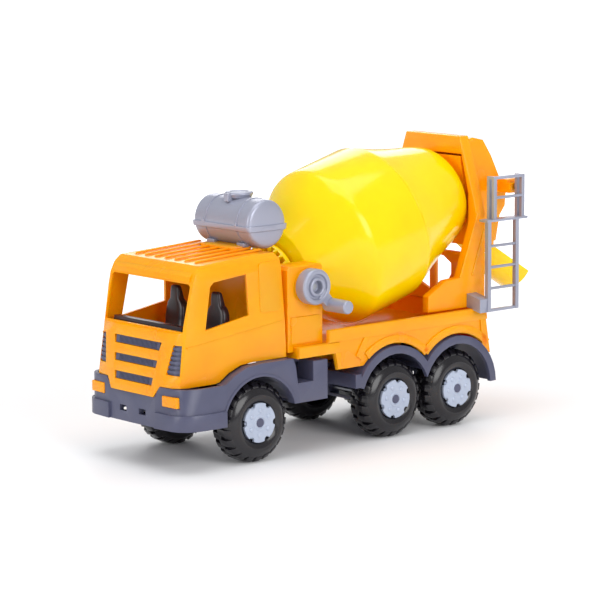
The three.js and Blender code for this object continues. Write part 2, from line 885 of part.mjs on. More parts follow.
function gearHousing() {
  const outline = [
    [towerRear, housingBottom],
    [housingFront, housingBottom],
    [housingFront, towerTop - 3],
    [housingFront - 3, towerTop],
    [towerRear + 2, towerTop],
    [towerRear, towerTop - 2],
  ];
  const outside = alongY(outline, -cabHalf, cabHalf);
  const tower = box(
    towerRear + wall,
    housingFront - wall,
    bayHalf + wall,
    cabHalf - wall,
    housingBottom - 1,
    towerTop - wall,
  );
  const bay = box(towerRear - 5, housingFront - wall, -bayHalf, bayHalf, housingBottom - 1, towerTop + 5);
  const frontCut = box(housingFront - 5, housingFront + 5, -bayHalf, bayHalf, 155, towerTop + 5);
  const boss = turned(rod(bossRadius, -20.5, bossEnd), 24, drumFrame);
  const hole = turned(rod(spindleRadius + gap, spindleStart - gap, bossEnd + 2), 24, drumFrame);
  const bore = turned(
    rod(bearing(shaftRadius), 5, 80),
    bearingSides,
    yAxisAt(crankX, crankZ),
  );
  const shell = cut(outside, tower, flipY(tower), bay, frontCut);
  return cut(join(shell, boss), hole, bore);
}
addPiece("gear_housing", gearHousing(), orange);
const spindleEnd = 26;
addPiece(
  "drum_spindle",
  turned(rod(spindleRadius, spindleStart, spindleEnd), 24, drumFrame),
  steel,
);

// ---------------------------------------------------------------- drum
const gearPlane = pinionTeeth * (gearPitch / gearTeeth); // the crown gear's pitch plane
const gearRoot = gearPlane + dedendum;
const gearTip = gearPlane - addendum;
const gearOuter = 27.6;
const gearInner = 20.4;
const discThickness = 4;
const shellStart = gearRoot + discThickness + gap;

function crownGear() {
  const back = gearRoot + discThickness;
  const bore = (spindleRadius + running) / Math.cos(Math.PI / 48);
  const disc = turned(
    [
      [bore, gearRoot],
      [gearOuter, gearRoot],
      [gearOuter, back],
      [bore, back],
      [bore, gearRoot],
    ],
    48,
    new THREE.Matrix4(),
  );
  const pitch = (2 * Math.PI * gearPitch) / gearTeeth;
  const rootHalf = pitch * 0.235;
  const tipHalf = pitch * 0.11;
  const teeth = [];
  for (let i = 0; i < gearTeeth; i++) {
    const section = [
      [-rootHalf, gearRoot + 0.5],
      [-tipHalf, gearTip],
      [tipHalf, gearTip],
      [rootHalf, gearRoot + 0.5],
    ];
    const tooth = new THREE.ExtrudeGeometry(shapeOf(section), {
      depth: gearOuter - gearInner,
      bevelEnabled: false,
    });
    tooth.translate(0, 0, gearInner);
    tooth.rotateY((i * 2 * Math.PI) / gearTeeth + Math.PI / 2);
    teeth.push(solid(tooth));
  }
  return join(disc, ...teeth);
}

const placed = (shape, matrix) => shape.transform(matrix.elements);
addPiece("drum_gear", placed(crownGear(), drumFrame), yellow);

const shellBore = spindleRadius + 1;
const drumSides = 32;
const seamStep = 0.8; // the rear shell is this much smaller than the band

function drumFront() {
  const t = drumWall;
  return turned(
    [
      [shellBore, shellStart],
      [26, shellStart],
      [35, shellStart + 5],
      [44.5, 36],
      [54.4, 51],
      [64.5, 63],
      [70, 69.5],
      [drumRadius, bandStart + 1.5],
      [drumRadius, bandEnd],
      [drumRadius - t, bandEnd],
      [drumRadius - t, bandStart + 2],
      [63, 65.5],
      [42.8, 38.5],
      [33, shellStart + 7],
      [25, shellStart + t],
      [shellBore, shellStart + t],
      [shellBore, shellStart],
    ],
    drumSides,
    drumFrame,
  );
}
addPiece("drum_front_shell", drumFront(), yellow);

function drumRearShell() {
  const t = drumWall;
  const r = drumRadius - seamStep;
  const lip = drumRadius - t - gap;
  return turned(
    [
      [r, bandEnd + gap],
      [63, 152],
      [54.5, 176],
      [49.5, drumRear - 20],
      [46, drumRear - 10],
      [42.5, drumRear - 3],
      [38.5, drumRear],
      [neckRadius, drumRear + 2],
      [neckRadius, neckEnd],
      [neckRadius - t, neckEnd],
      [neckRadius - t, drumRear],
      [37, drumRear - 2],
      [43.7, drumRear - 11],
      [60.6, 151.2],
      [lip - t, bandEnd - 3],
      [lip - t, bandEnd - 7],
      [lip, bandEnd - 7],
      [lip, bandEnd + gap],
      [r, bandEnd + gap],
    ],
    drumSides,
    drumFrame,
  );
}
addPiece("drum_rear_shell", drumRearShell(), yellow);

// ---------------------------------------------------------------- crank
const pinionY = (gearInner + gearOuter) / 2;
const crankArm = { dx: -17, dz: -17, handle: 6, reach: 92 };
const shaftEnd = 12;

function pinion() {
  const pitchRadius = gearPlane;
  const tip = pitchRadius + addendum;
  const foot = pitchRadius - dedendum;
  const pitch = (2 * Math.PI) / pinionTeeth;
  const outline = [];
  for (let i = 0; i < pinionTeeth; i++) {
    const a = i * pitch + pitch / 2;
    for (const [r, f] of [
      [foot, -0.34],
      [pitchRadius, -0.19],
      [tip, -0.09],
      [tip, 0.09],
      [pitchRadius, 0.19],
      [foot, 0.34],
    ])
      outline.push([r * Math.cos(a + f * pitch), r * Math.sin(a + f * pitch)]);
  }
  const face = gearOuter - gearInner;
  const teeth = alongY(outline, pinionY - face / 2, pinionY + face / 2);
  const bore = turned(rod(shaftRadius + gap, 0, 60), 24, new THREE.Matrix4());
  return cut(teeth, bore);
}

// At rest a tooth of the crown gear stands in a gap of the pinion, along the drum's axis.
const crankFrame = yAxisAt(crankX, crankZ);
const pinionFrame = crankFrame
  .clone()
  .multiply(new THREE.Matrix4().makeRotationY(drumTilt));
addPiece("crank_pinion", placed(pinion(), pinionFrame), yellow);

const shaftLength = turned(rod(shaftRadius, shaftEnd, crankFace + 4), 24, crankFrame);
addPiece("crank_shaft", shaftLength, steel);

function crankWheel() {
  const f = crankFace;
  const wheel = turned(
    [
      [0, f],
      [crankDisc - 0.6, f],
      [crankDisc, f + 0.8],
      [crankDisc, f + 10.5],
      [crankDisc - 1.2, f + 11.7],
      [11, f + 11.7],
      [10.4, f + 9.4],
      [8.4, f + 9.4],
      [7.8, f + 12.2],
      [6.2, f + 12.6],
      [5.3, f + 11.8],
      [5.3, f + 6],
      [0, f + 6],
    ],
    24,
    new THREE.Matrix4(),
  );
  const { dx, dz, handle, reach } = crankArm;
  const length = Math.hypot(dx, dz);
  const arm = alongY(
    [
      [9, -5.4],
      [length, -4.2],
      [length, 4.2],
      [9, 5.4],
    ],
    f + 5,
    f + 11,
  );
  const angle = Math.atan2(-dz, dx);
  const swung = placed(arm, new THREE.Matrix4().makeRotationY(angle));
  const pin = turned(
    [
      [0, f + 4.4],
      [handle, f + 4.4],
      [handle, reach - 0.8],
      [handle - 0.8, reach],
      [0, reach],
    ],
    24,
    yAxisAt(dx, dz),
  );
  const socket = turned(rod(shaftRadius + gap, f - 1, f + 4 + gap), 24, new THREE.Matrix4());
  return cut(join(wheel, swung, pin), socket);
}
addPiece("crank_wheel", placed(crankWheel(), crankFrame), silver);

const crankScrew = turned(rod(2.6, crankFace + 6 + gap, crankFace + 7.6), 16, crankFrame);
addPiece("crank_screw", crankScrew, steel);

// ---------------------------------------------------------------- rear support
const archInner = 46;
const archCrown = 240;
const footTop = 131;

function rearSupport() {
  const x0 = supportFront - supportDepth;
  const x1 = supportFront;
  const outline = mirrored([
    [supportHalf, bodyTop + gap],
    [supportHalf, 189],
    [44, 231],
    [supportTopHalf, supportTop],
  ]);
  const opening = mirrored([
    [archInner - 3, 150],
    [archInner, 156],
    [archInner, 205],
    [38.5, 234],
    [hopperHalf + 1, archCrown],
  ]);
  const arch = cut(alongX(outline, x0, x1), alongX(opening, x0 - 1, x1 + 1));
  const hex = (s) =>
    alongX(
      [
        [4, 114],
        [17, 119],
        [24, 130],
        [24, 140],
        [14, 146],
        [4, 146],
      ].map(([y, z]) => [s * y, z]),
      x0 - 1,
      x1 + 1,
    );
  const wallCut = box(x0 - 1, x1 - 4, -supportHalf + 10, supportHalf - 10, bodyTop - 1, 148);
  const leg = alongY(
    [
      [-203, bodyTop + gap],
      [-203, 119],
      [-225, footTop],
      [-241, footTop + 1],
      [x1 - 1, 188],
      [x0, 188],
      [x0, bodyTop + gap],
    ],
    supportHalf - 8,
    supportHalf,
  );
  const legCut = box(-258, -206, supportHalf - 9, supportHalf - 2.5, bodyTop - 1, 116);
  const legSolid = cut(leg, legCut);
  return cut(join(cut(arch, wallCut), legSolid, flipY(legSolid)), hex(1), hex(-1));
}
addPiece("rear_support", rearSupport(), orange);

// ---------------------------------------------------------------- hopper
const hopperWall = 219; // where its front wall stands along the drum's axis
const along = (s, up) => [
  crankX + s * drumAxis.x + up * drumUp.x,
  crankZ + s * drumAxis.z + up * drumUp.z,
];
const behind = supportFront - supportDepth - gap;
const pinZ = 210;
const pinX = -307;

function hopperOutline() {
  return [
    along(hopperWall, -40),
    along(hopperWall, 35),
    [behind + 3, archCrown - 2],
    [behind, archCrown - 2],
    [behind, supportTop - 3],
    [behind - 4, supportTop - 2],
    [-290.5, 251],
    [-301, 236],
    [-310, 219],
    [-320, 200.5],
    [-319, 189],
    [-312.5, 181],
    [-310, 170],
    [-307.5, 158],
    [-286, 154],
  ];
}

const chuteX = -311;
const chuteZ = 155;
const chutePin = 1.8;

function hopper() {
  const outer = alongY(hopperOutline(), -hopperHalf, hopperHalf);
  const inner = alongY(inset(hopperOutline(), wall), -hopperHalf + wall, hopperHalf - wall);
  const neck = turned(rod(neckRadius + 0.5, hopperWall - 6, hopperWall + 8), 48, drumFrame);
  const loading = box(-289, -277, -24, 24, 240, 262);
  const outlet = box(-305, -287, -16, 16, 148, 164);
  const flangePlate = alongX(
    mirrored([
      [50, 168],
      [52, 195],
      [40, 231],
      [33, supportTop - 3],
    ]),
    behind - wall,
    behind,
  );
  const flangeHole = box(behind - 5, behind + 5, -hopperHalf + 1, hopperHalf - 1, 160, 262);
  const ear = box(pinX - 7, pinX + 8, hopperHalf - 1, 62, pinZ - 6, pinZ + 6);
  const pinHole = turned(rod(2.2 + gap, 40, 80), 16, yAxisAt(pinX, pinZ));
  const earEnd = box(pinX - 8, pinX + 9, 58, 63, pinZ + 2.6, pinZ + 7);
  const chuteEars = [1, -1].map((s) =>
    box(-316, -304, Math.min(s * 21, s * 25), Math.max(s * 21, s * 25), 150, 172),
  );
  const chuteHole = turned(rod(chutePin + gap, -40, 40), 16, yAxisAt(chuteX, chuteZ));
  const shell = join(outer, cut(flangePlate, flangeHole), ear, ...chuteEars);
  return cut(shell, inner, neck, loading, outlet, pinHole, earEnd, chuteHole);
}
addPiece("hopper", hopper(), orange);
addPiece(
  "ladder_pin",
  turned(
    [
      [0, 44],
      [2.2, 44],
      [2.2, 62.4],
      [3.6, 62.4],
      [3.6, 65],
      [0, 65],
    ],
    16,
    yAxisAt(pinX, pinZ),
  ),
  steel,
);

// ---------------------------------------------------------------- chute
const chuteRadius = 16.5;
const chuteSlope = THREE.MathUtils.degToRad(31);
const chuteLength = 70;

function chute() {
  // drawn along -X from the pivot, then tilted down by the slope
  const section = (r, top) => [
    [-r, top],
    ...arc(0, 0, r, 180, 360, 14).map(([y, z]) => [y, z - 3]),
    [r, top],
  ];
  const outer = alongX(section(chuteRadius, 2), -chuteLength, 4);
  const inner = alongX(section(chuteRadius - 2, 5), -chuteLength - 1, 5);
  const upper = alongY(
    [
      [5, -30],
      [5, -5],
      [-14, -8],
      [-27, -30],
    ],
    -30,
    30,
  );
  const end = alongY(
    [
      [-chuteLength - 1, 4],
      [-chuteLength + 1, 4],
      [-chuteLength + 7, -24],
      [-chuteLength - 1, -24],
    ],
    -30,
    30,
  );
  const hole = turned(rod(chutePin + gap, -30, 30), 16, new THREE.Matrix4());
  const trough = cut(outer, inner, upper, end, hole);
  const m = new THREE.Matrix4().makeRotationY(-chuteSlope).setPosition(chuteX, 0, chuteZ);
  return placed(trough, m);
}
addPiece("chute", chute(), yellow);
for (const [label, s] of sides) {
  const made = turned(
    [
      [0, 13.4],
      [2.8, 13.4],
      [2.8, 14.2],
      [chutePin, 14.2],
      [chutePin, 26],
      [0, 26],
    ],
    16,
    yAxisAt(chuteX, chuteZ),
  );
  addPiece("chute_pin_" + label, s > 0 ? made : flipY(made), steel);
}

// ---------------------------------------------------------------- ladder
const rail = 4;
const railFront = -261;
const railRear = -296;
const ladderLow = 101;
const shelfZ = 182;
const cageTop = 222;
const cageBack = 7; // how far the cage stands behind the rails

function ladder() {
  const y0 = ladderY - rail;
  const rails = [railFront, railRear].map((x) =>
    box(x - rail / 2, x + rail / 2, y0, ladderY, ladderLow, shelfZ + 1),
  );
  const rungs = [122, 141, 160].map((z) =>
    turned(rod(1.3, railRear, railFront), 10, xAxisAt(ladderY - rail / 2, z)),
  );
  const sill = box(railRear, railFront, y0 + 0.5, ladderY - 0.5, ladderLow, ladderLow + 2.4);
  const shelf = box(railRear - 12, railFront + 4, y0 - 5, ladderY + 1, shelfZ, shelfZ + 2);
  const posts = [railFront - cageBack, railRear - cageBack].flatMap((x) =>
    [ladderY - 1.5, y0 - 3.5].map((y) => box(x - 1.8, x + 1.8, y - 1.5, y + 1.5, shelfZ + 1, cageTop)),
  );
  const crown = [
    box(railRear - cageBack - 1.8, railFront - cageBack + 1.8, ladderY - 3, ladderY, cageTop - 2.4, cageTop),
    ...[railFront - cageBack, railRear - cageBack].map((x) =>
      box(x - 1.8, x + 1.8, y0 - 5, ladderY, cageTop - 2.4, cageTop),
    ),
  ];
  const cageRung = rod(1.3, railRear - cageBack, railFront - cageBack);
  const upperRung = turned(cageRung, 10, xAxisAt(ladderY - 1.5, 203));
  const foot = alongX(
    [
      [supportHalf + gap, 104.8],
      [ladderY - 1, ladderLow],
      [ladderY - 1, 113],
      [supportHalf + gap, 117],
    ],
    -262,
    -250,
  );
  const clear = box(-270, -240, 40, bodyHalf + gap, 90, bodyTop + gap);
  return cut(join(...rails, ...rungs, sill, shelf, ...posts, ...crown, upperRung, foot), clear);
}
addPiece("ladder", ladder(), silver);

// ---------------------------------------------------------------- place the whole
root.updateMatrixWorld(true);
const bounds = new THREE.Box3().setFromObject(root);
const centre = bounds.getCenter(new THREE.Vector3());
root.position.set(-centre.x, -centre.y, -bounds.min.z);

export default root;
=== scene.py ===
# %% [markdown]
# # A toy cement mixer, dressed in Blender
# The lorry is a moulded plastic toy: an open cab, six fat wheels, a tilted drum turned by a
# side crank, and a hopper with a tilting chute behind it. Its working shapes come in as a
# fixed frame. This lesson gives each of them the rounded edges, ribs and plastics of the real
# thing, one small step at a time.

# %% Load the frame
import json
import math

import bmesh
import bpy
from mathutils import Matrix, Vector
from mathutils.bvhtree import BVHTree


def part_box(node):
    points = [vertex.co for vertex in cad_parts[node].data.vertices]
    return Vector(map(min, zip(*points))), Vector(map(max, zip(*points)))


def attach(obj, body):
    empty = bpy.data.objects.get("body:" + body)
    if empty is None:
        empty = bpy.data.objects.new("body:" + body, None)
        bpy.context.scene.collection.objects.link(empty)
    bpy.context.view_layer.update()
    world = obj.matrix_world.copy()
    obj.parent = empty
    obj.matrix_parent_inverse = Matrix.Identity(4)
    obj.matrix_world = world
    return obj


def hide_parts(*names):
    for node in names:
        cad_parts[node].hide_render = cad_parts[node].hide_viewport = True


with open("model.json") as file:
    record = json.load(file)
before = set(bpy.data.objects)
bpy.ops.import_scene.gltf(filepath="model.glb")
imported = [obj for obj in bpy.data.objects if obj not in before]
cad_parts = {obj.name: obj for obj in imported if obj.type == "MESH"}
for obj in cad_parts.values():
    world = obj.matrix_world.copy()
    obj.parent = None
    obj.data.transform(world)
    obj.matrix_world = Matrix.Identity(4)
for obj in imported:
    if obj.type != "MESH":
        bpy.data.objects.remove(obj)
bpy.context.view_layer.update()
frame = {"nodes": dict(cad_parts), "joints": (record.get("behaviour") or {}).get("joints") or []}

# %% [markdown]
# ## Where things are
# A lorry is easiest to measure from its front axle, its centre plane and the ground, in
# millimetres. One function turns such a place into metres in the shared frame, so every later
# cell can speak in the maker's own sizes.

# %% Measure from the front axle
MM = 0.001


def middle(node):
    low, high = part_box(node)
    return (low + high) / 2


DATUM = middle("axle_front")


def at(x, y, z):
    return Vector((DATUM.x + x * MM, DATUM.y + y * MM, z * MM))


def across(node):
    """x, y and z of a node's middle, in millimetres from the datum."""
    m = middle(node)
    return (m.x - DATUM.x) / MM, (m.y - DATUM.y) / MM, m.z / MM


def extent(node):
    """Low and high of a node along x, y and z, in millimetres from the datum."""
    low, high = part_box(node)
    base = (DATUM.x, DATUM.y, 0.0)
    return [((low[k] - base[k]) / MM, (high[k] - base[k]) / MM) for k in range(3)]


AXLES = {name: across("axle_" + name)[0] for name in ("front", "middle", "rear")}
AXLE_Z = across("axle_front")[2]
SIDES = {"left": 1, "right": -1}
print("axles at", {k: round(v, 1) for k, v in AXLES.items()}, "height", round(AXLE_Z, 1))

# %% [markdown]
# ## One function for nodes
# Materials and geometry trees are both graphs. A single helper adds a node, sets its
# properties, and fills or links its inputs, which keeps each graph readable as a recipe.

# %% Add a node
def add(tree, kind, inputs=None, **settings):
    made = tree.nodes.new(kind)
    for name, value in settings.items():
        setattr(made, name, value)
    for name, value in (inputs or {}).items():
        if isinstance(value, bpy.types.NodeSocket):
            tree.links.new(value, made.inputs[name])
        else:
            made.inputs[name].default_value = value
    return made


def linear(hex_colour):
    """An sRGB hex colour as the linear RGBA that shaders use."""
    parts = [int(hex_colour[i : i + 2], 16) / 255 for i in (1, 3, 5)]
    return [c / 12.92 if c <= 0.04045 else ((c + 0.055) / 1.055) ** 2.4 for c in parts] + [1.0]


# %% [markdown]
# ## Moulded plastics
# Nearly everything here is injection-moulded polypropylene or ABS. Such a surface is a copy of
# a polished steel mould: glossy, with a very faint ripple where the plastic shrank, and a skin
# whose gloss changes a little over a few centimetres. Flow of the melt also leaves the colour
# slightly deeper in places. So each plastic gets a slow colour drift, a slow gloss drift, and
# a fine ripple as bump, all from noise on the object's own coordinates.

# %% A moulded plastic
DRIFT = 45 * MM  # the melt's colour drift, across the part
RIPPLE = 9 * MM  # shrinkage ripple, the slow one
GRAIN = 0.9 * MM  # mould polish, drawn about five times coarser than the real one so it shows


def plastic(name, colour, deep, roughness, spread=0.05, ripple=0.10, grain=0.04, **shader):
    material = bpy.data.materials.new(name)
    material.use_nodes = True
    tree = material.node_tree
    surface = tree.nodes["Principled BSDF"]
    place = add(tree, "ShaderNodeTexCoord").outputs["Object"]
    drift = add(tree, "ShaderNodeTexNoise", {"Vector": place, "Scale": 1 / DRIFT, "Detail": 3.0})
    tone = add(tree, "ShaderNodeMapRange", {"Value": drift.outputs["Fac"],
               "From Min": 0.35, "From Max": 0.7})
    mixed = add(tree, "ShaderNodeMix", {"Factor": tone.outputs["Result"]}, data_type="RGBA")
    mixed.inputs[6].default_value = linear(colour)
    mixed.inputs[7].default_value = linear(deep)
    gloss = add(tree, "ShaderNodeMapRange", {"Value": drift.outputs["Fac"],
                "To Min": roughness - spread, "To Max": roughness + spread})
    slow = add(tree, "ShaderNodeTexNoise", {"Vector": place, "Scale": 1 / RIPPLE, "Detail": 1.0})
    fine = add(tree, "ShaderNodeTexNoise", {"Vector": place, "Scale": 1 / GRAIN, "Detail": 2.0})
    bumped = add(tree, "ShaderNodeBump", {"Height": slow.outputs["Fac"], "Strength": ripple,
                 "Distance": 0.25 * MM})
    grained = add(tree, "ShaderNodeBump", {"Height": fine.outputs["Fac"], "Strength": grain,
                  "Distance": 0.05 * MM, "Normal": bumped.outputs["Normal"]})
    tree.links.new(mixed.outputs[2], surface.inputs["Base Color"])
    tree.links.new(gloss.outputs["Result"], surface.inputs["Roughness"])
    tree.links.new(grained.outputs["Normal"], surface.inputs["Normal"])
    for key, value in shader.items():
        surface.inputs[key.replace("_", " ")].default_value = value
    return material


# Polypropylene, polished mould: IOR 1.49, a soft gloss, and a little light inside the wall,
# which makes the shaded side glow instead of going grey.
glow = {"IOR": 1.49, "Subsurface_Weight": 0.35, "Subsurface_Scale": 0.008,
        "Specular_IOR_Level": 0.36}
ORANGE = plastic("orange_polypropylene", "#FFA300", "#FF9900", 0.26, **glow)
YELLOW = plastic("yellow_polypropylene", "#FFD400", "#FFCD00", 0.16, **glow)
SLATE = plastic("slate_polypropylene", "#50526A", "#484A62", 0.36, IOR=1.49)
# The seats are the same plastic in a brown black, from a well polished mould.
SEAT = plastic("dark_polypropylene", "#2A1E24", "#221A20", 0.30, IOR=1.49)
# Tyres of a blow-moulded soft plastic: very dark and wet-looking.
TYRE = plastic("black_blown_polyethylene", "#1B191E", "#151318", 0.20, ripple=0.25, IOR=1.51)

# %% [markdown]
# ## Silver plastic and steel
# The silver parts are ABS with aluminium flake in it. The flake catches light in tiny points,
# so a Voronoi pattern of flake-sized cells varies the gloss. A little metallic value darkens
# the reflections the way flake does. The axles and pins are drawn steel wire, whose fine marks
# run along the wire.

# %% Flake plastics and drawn steel
FLAKE = 0.6 * MM  # real flake is near 0.05 mm, drawn coarser so that it shows at all


def flake_plastic(name, colour, deep, roughness, metallic):
    material = plastic(name, colour, deep, roughness, spread=0.04, ripple=0.06,
                       IOR=1.53, Metallic=metallic)
    tree = material.node_tree
    surface = tree.nodes["Principled BSDF"]
    place = add(tree, "ShaderNodeTexCoord").outputs["Object"]
    cells = add(tree, "ShaderNodeTexVoronoi", {"Vector": place, "Scale": 1 / FLAKE})
    sparkle = add(tree, "ShaderNodeMapRange", {"Value": cells.outputs["Distance"],
                  "From Max": 0.9, "To Min": roughness - 0.06, "To Max": roughness + 0.06})
    tree.links.new(sparkle.outputs["Result"], surface.inputs["Roughness"])
    return material


SILVER = flake_plastic("silver_flake_abs", "#9EA1B2", "#989BAC", 0.34, 0.35)
DISC = flake_plastic("pale_silver_flake_abs", "#B4BED2", "#ACB6CA", 0.40, 0.15)


def drawn_steel(name, colour, roughness):
    material = bpy.data.materials.new(name)
    material.use_nodes = True
    tree = material.node_tree
    surface = tree.nodes["Principled BSDF"]
    place = add(tree, "ShaderNodeTexCoord").outputs["Object"]
    along = add(tree, "ShaderNodeMapping", {"Vector": place, "Scale": (900.0, 30.0, 900.0)})
    marks = add(tree, "ShaderNodeTexNoise", {"Vector": along.outputs["Vector"], "Scale": 1.0})
    rough = add(tree, "ShaderNodeMapRange", {"Value": marks.outputs["Fac"],
                "To Min": roughness - 0.1, "To Max": roughness + 0.1})
    bump = add(tree, "ShaderNodeBump", {"Height": marks.outputs["Fac"], "Strength": 0.1,
               "Distance": 0.02 * MM})
    tree.links.new(rough.outputs["Result"], surface.inputs["Roughness"])
    tree.links.new(bump.outputs["Normal"], surface.inputs["Normal"])
    surface.inputs["Base Color"].default_value = linear(colour)
    surface.inputs["Metallic"].default_value = 1.0
    return material


STEEL = drawn_steel("drawn_steel_wire", "#A9ABAF", 0.32)
print("finishes:", [m.name for m in bpy.data.materials])

# %% [markdown]
# ## Building blocks
# Moulded pieces are mostly outlines drawn through a thickness, and turned shapes. Both could
# be primitives with modifiers. Writing the vertices gives exact places and clean faces, and a
# Bevel modifier then rounds every sharp edge like the mould's own radius.

# %% Outlines and turned shapes
def rounded(points, radius, steps=3, closed=True):
    """Corners of a line replaced by short curves, radius in the points' own unit."""
    points = [Vector(p) for p in points]
    result = []
    for i, p in enumerate(points):
        if not closed and i in (0, len(points) - 1):
            result.append(p)
            continue
        before, after = points[i - 1] - p, points[(i + 1) % len(points)] - p
        start = p + before.normalized() * min(radius, before.length * 0.45)
        end = p + after.normalized() * min(radius, after.length * 0.45)
        for k in range(steps + 1):
            t = k / steps
            result.append(start * (1 - t) ** 2 + p * 2 * t * (1 - t) + end * t * t)
    return result


def arc(x, z, radius, start, end, steps=16):
    turn = [math.radians(start + (end - start) * k / steps) for k in range(steps + 1)]
    return [(x + radius * math.cos(a), z + radius * math.sin(a)) for a in turn]


PLANES = {
    "x": lambda u, v, w: at(w, u, v),
    "y": lambda u, v, w: at(u, w, v),
    "z": lambda u, v, w: at(u, v, w),
}


def prism(points, axis, low, high, bm=None):
    """An outline drawn through along x, y or z, from low to high."""
    bm = bm or bmesh.new()
    place = PLANES[axis]
    ends = [[bm.verts.new(place(p[0], p[1], w)) for p in points] for w in (low, high)]
    faces = [bm.faces.new(ends[0]), bm.faces.new(ends[1])]
    for k in range(len(points)):
        n = (k + 1) % len(points)
        faces.append(bm.faces.new([ends[0][k], ends[0][n], ends[1][n], ends[1][k]]))
    bmesh.ops.recalc_face_normals(bm, faces=faces)
    return bm


def block(x0, x1, y0, y1, z0, z1, bm=None):
    return prism([(x0, y0), (x1, y0), (x1, y1), (x0, y1)], "z", z0, z1, bm)


def turned(profile, segments, place, ring=False, bm=None):
    """Points of (radius, distance along local Y) in millimetres, turned round local Y."""
    bm = bm or bmesh.new()
    rows = []
    for r, h in profile:
        turns = [2 * math.pi * k / segments for k in range(segments if r > 1e-4 else 1)]
        rows.append([
            bm.verts.new(place @ Vector((r * MM * math.cos(a), h * MM, r * MM * math.sin(a))))
            for a in turns
        ])
    faces = []
    for a, b in zip(rows, rows[1:] + rows[:1] if ring else rows[1:]):
        for k in range(segments):
            n = k + 1
            loop = [a[k % len(a)], a[n % len(a)], b[n % len(b)], b[k % len(b)]]
            corners = list(dict.fromkeys(loop))
            if len(corners) > 2:
                faces.append(bm.faces.new(corners))
    bmesh.ops.recalc_face_normals(bm, faces=faces)
    return bm


def outward(x, z, side=1):
    """Local Y runs out of the lorry's left side, or out of its right with side -1."""
    return Matrix.Translation(at(x, 0, z)) @ Matrix.Diagonal((1, side, 1, 1))


def upward(x, y, z=0):
    """Local Y runs up."""
    return Matrix.Translation(at(x, y, z)) @ Matrix.Rotation(math.pi / 2, 4, "X")


# %% [markdown]
# ## Taking a shape from the frame
# Housings and panels already have their true outline in the frame, as loose triangles. A copy
# is welded, its flat triangles are joined into whole faces, and a bevel rounds the edges. The
# original node is then hidden, since the new piece stands for it.

# %% Copy a node, finish a piece
PIECES = []


def from_frame(*nodes):
    bm = bmesh.new()
    for node in nodes:
        bm.from_mesh(frame["nodes"][node].data)
    bmesh.ops.remove_doubles(bm, verts=bm.verts, dist=0.004 * MM)
    bmesh.ops.dissolve_limit(bm, angle_limit=math.radians(1), verts=bm.verts, edges=bm.edges)
    return bm


def finish(name, bm, material, body, nodes=(), bevel=0.0, steps=2, sharp=32):
    """A mesh as a piece of the object: smooth faces, rounded edges, riding on its body."""
    mesh = bpy.data.meshes.new(name)
    bm.to_mesh(mesh)
    bm.free()
    mesh.materials.append(material)
    mesh.polygons.foreach_set("use_smooth", [True] * len(mesh.polygons))
    piece = bpy.data.objects.new(name, mesh)
    bpy.context.scene.collection.objects.link(piece)
    if bevel:
        edge = piece.modifiers.new("edge", "BEVEL")
        edge.width = bevel * MM
        edge.segments = steps
        edge.limit_method = "ANGLE"
        edge.angle_limit = math.radians(sharp)
        edge.harden_normals = True
    else:
        mesh.set_sharp_from_angle(angle=math.radians(sharp))
    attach(piece, body)
    if nodes:
        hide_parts(*nodes)
    PIECES.append(name)
    return piece


# %% [markdown]
# ## Repeating with geometry nodes
# Tread lugs, disc bumps, roof ridges, grille ribs and gear teeth are one shape many times over.
# Two small trees do all of them. The first turns copies of a shape round an axis, the second steps copies
# along a line. Both end by realising the copies and setting their material.

# %% A ring tree and a row tree
def new_tree(name, sockets):
    tree = bpy.data.node_groups.new(name, "GeometryNodeTree")
    for label, kind in sockets:
        tree.interface.new_socket(label, in_out="INPUT", socket_type="NodeSocket" + kind)
    tree.interface.new_socket("Geometry", in_out="OUTPUT", socket_type="NodeSocketGeometry")
    return tree, add(tree, "NodeGroupInput").outputs


def end_tree(tree, instances, material):
    real = add(tree, "GeometryNodeRealizeInstances", {"Geometry": instances})
    painted = add(tree, "GeometryNodeSetMaterial",
                  {"Geometry": real.outputs["Geometry"], "Material": material})
    add(tree, "NodeGroupOutput", {"Geometry": painted.outputs["Geometry"]})
    return tree


def ring_tree():
    tree, given = new_tree("copies_in_a_ring", [
        ("Part", "Object"), ("Count", "Int"), ("Axis", "Vector"), ("Centre", "Vector"),
        ("Phase", "Float"), ("Material", "Material")])
    shape = add(tree, "GeometryNodeObjectInfo", {"Object": given["Part"]})
    points = add(tree, "GeometryNodePoints", {"Count": given["Count"],
                 "Position": given["Centre"]})
    step = add(tree, "ShaderNodeMath", {0: math.tau, 1: given["Count"]}, operation="DIVIDE")
    index = add(tree, "GeometryNodeInputIndex")
    turn = add(tree, "ShaderNodeMath", {0: index.outputs[0], 1: step.outputs[0],
               2: given["Phase"]}, operation="MULTIPLY_ADD")
    rotation = add(tree, "FunctionNodeAxisAngleToRotation",
                   {"Axis": given["Axis"], "Angle": turn.outputs[0]})
    copies = add(tree, "GeometryNodeInstanceOnPoints", {"Points": points.outputs[0],
                 "Instance": shape.outputs["Geometry"], "Rotation": rotation.outputs[0]})
    return end_tree(tree, copies.outputs["Instances"], given["Material"])


def row_tree():
    tree, given = new_tree("copies_in_a_row", [
        ("Part", "Object"), ("Count", "Int"), ("Start", "Vector"), ("Step", "Vector"),
        ("Material", "Material")])
    shape = add(tree, "GeometryNodeObjectInfo", {"Object": given["Part"]})
    line = add(tree, "GeometryNodeMeshLine", {"Count": given["Count"],
               "Start Location": given["Start"], "Offset": given["Step"]})
    copies = add(tree, "GeometryNodeInstanceOnPoints", {"Points": line.outputs[0],
                 "Instance": shape.outputs["Geometry"]})
    return end_tree(tree, copies.outputs["Instances"], given["Material"])


TREES = {"ring": ring_tree(), "row": row_tree()}


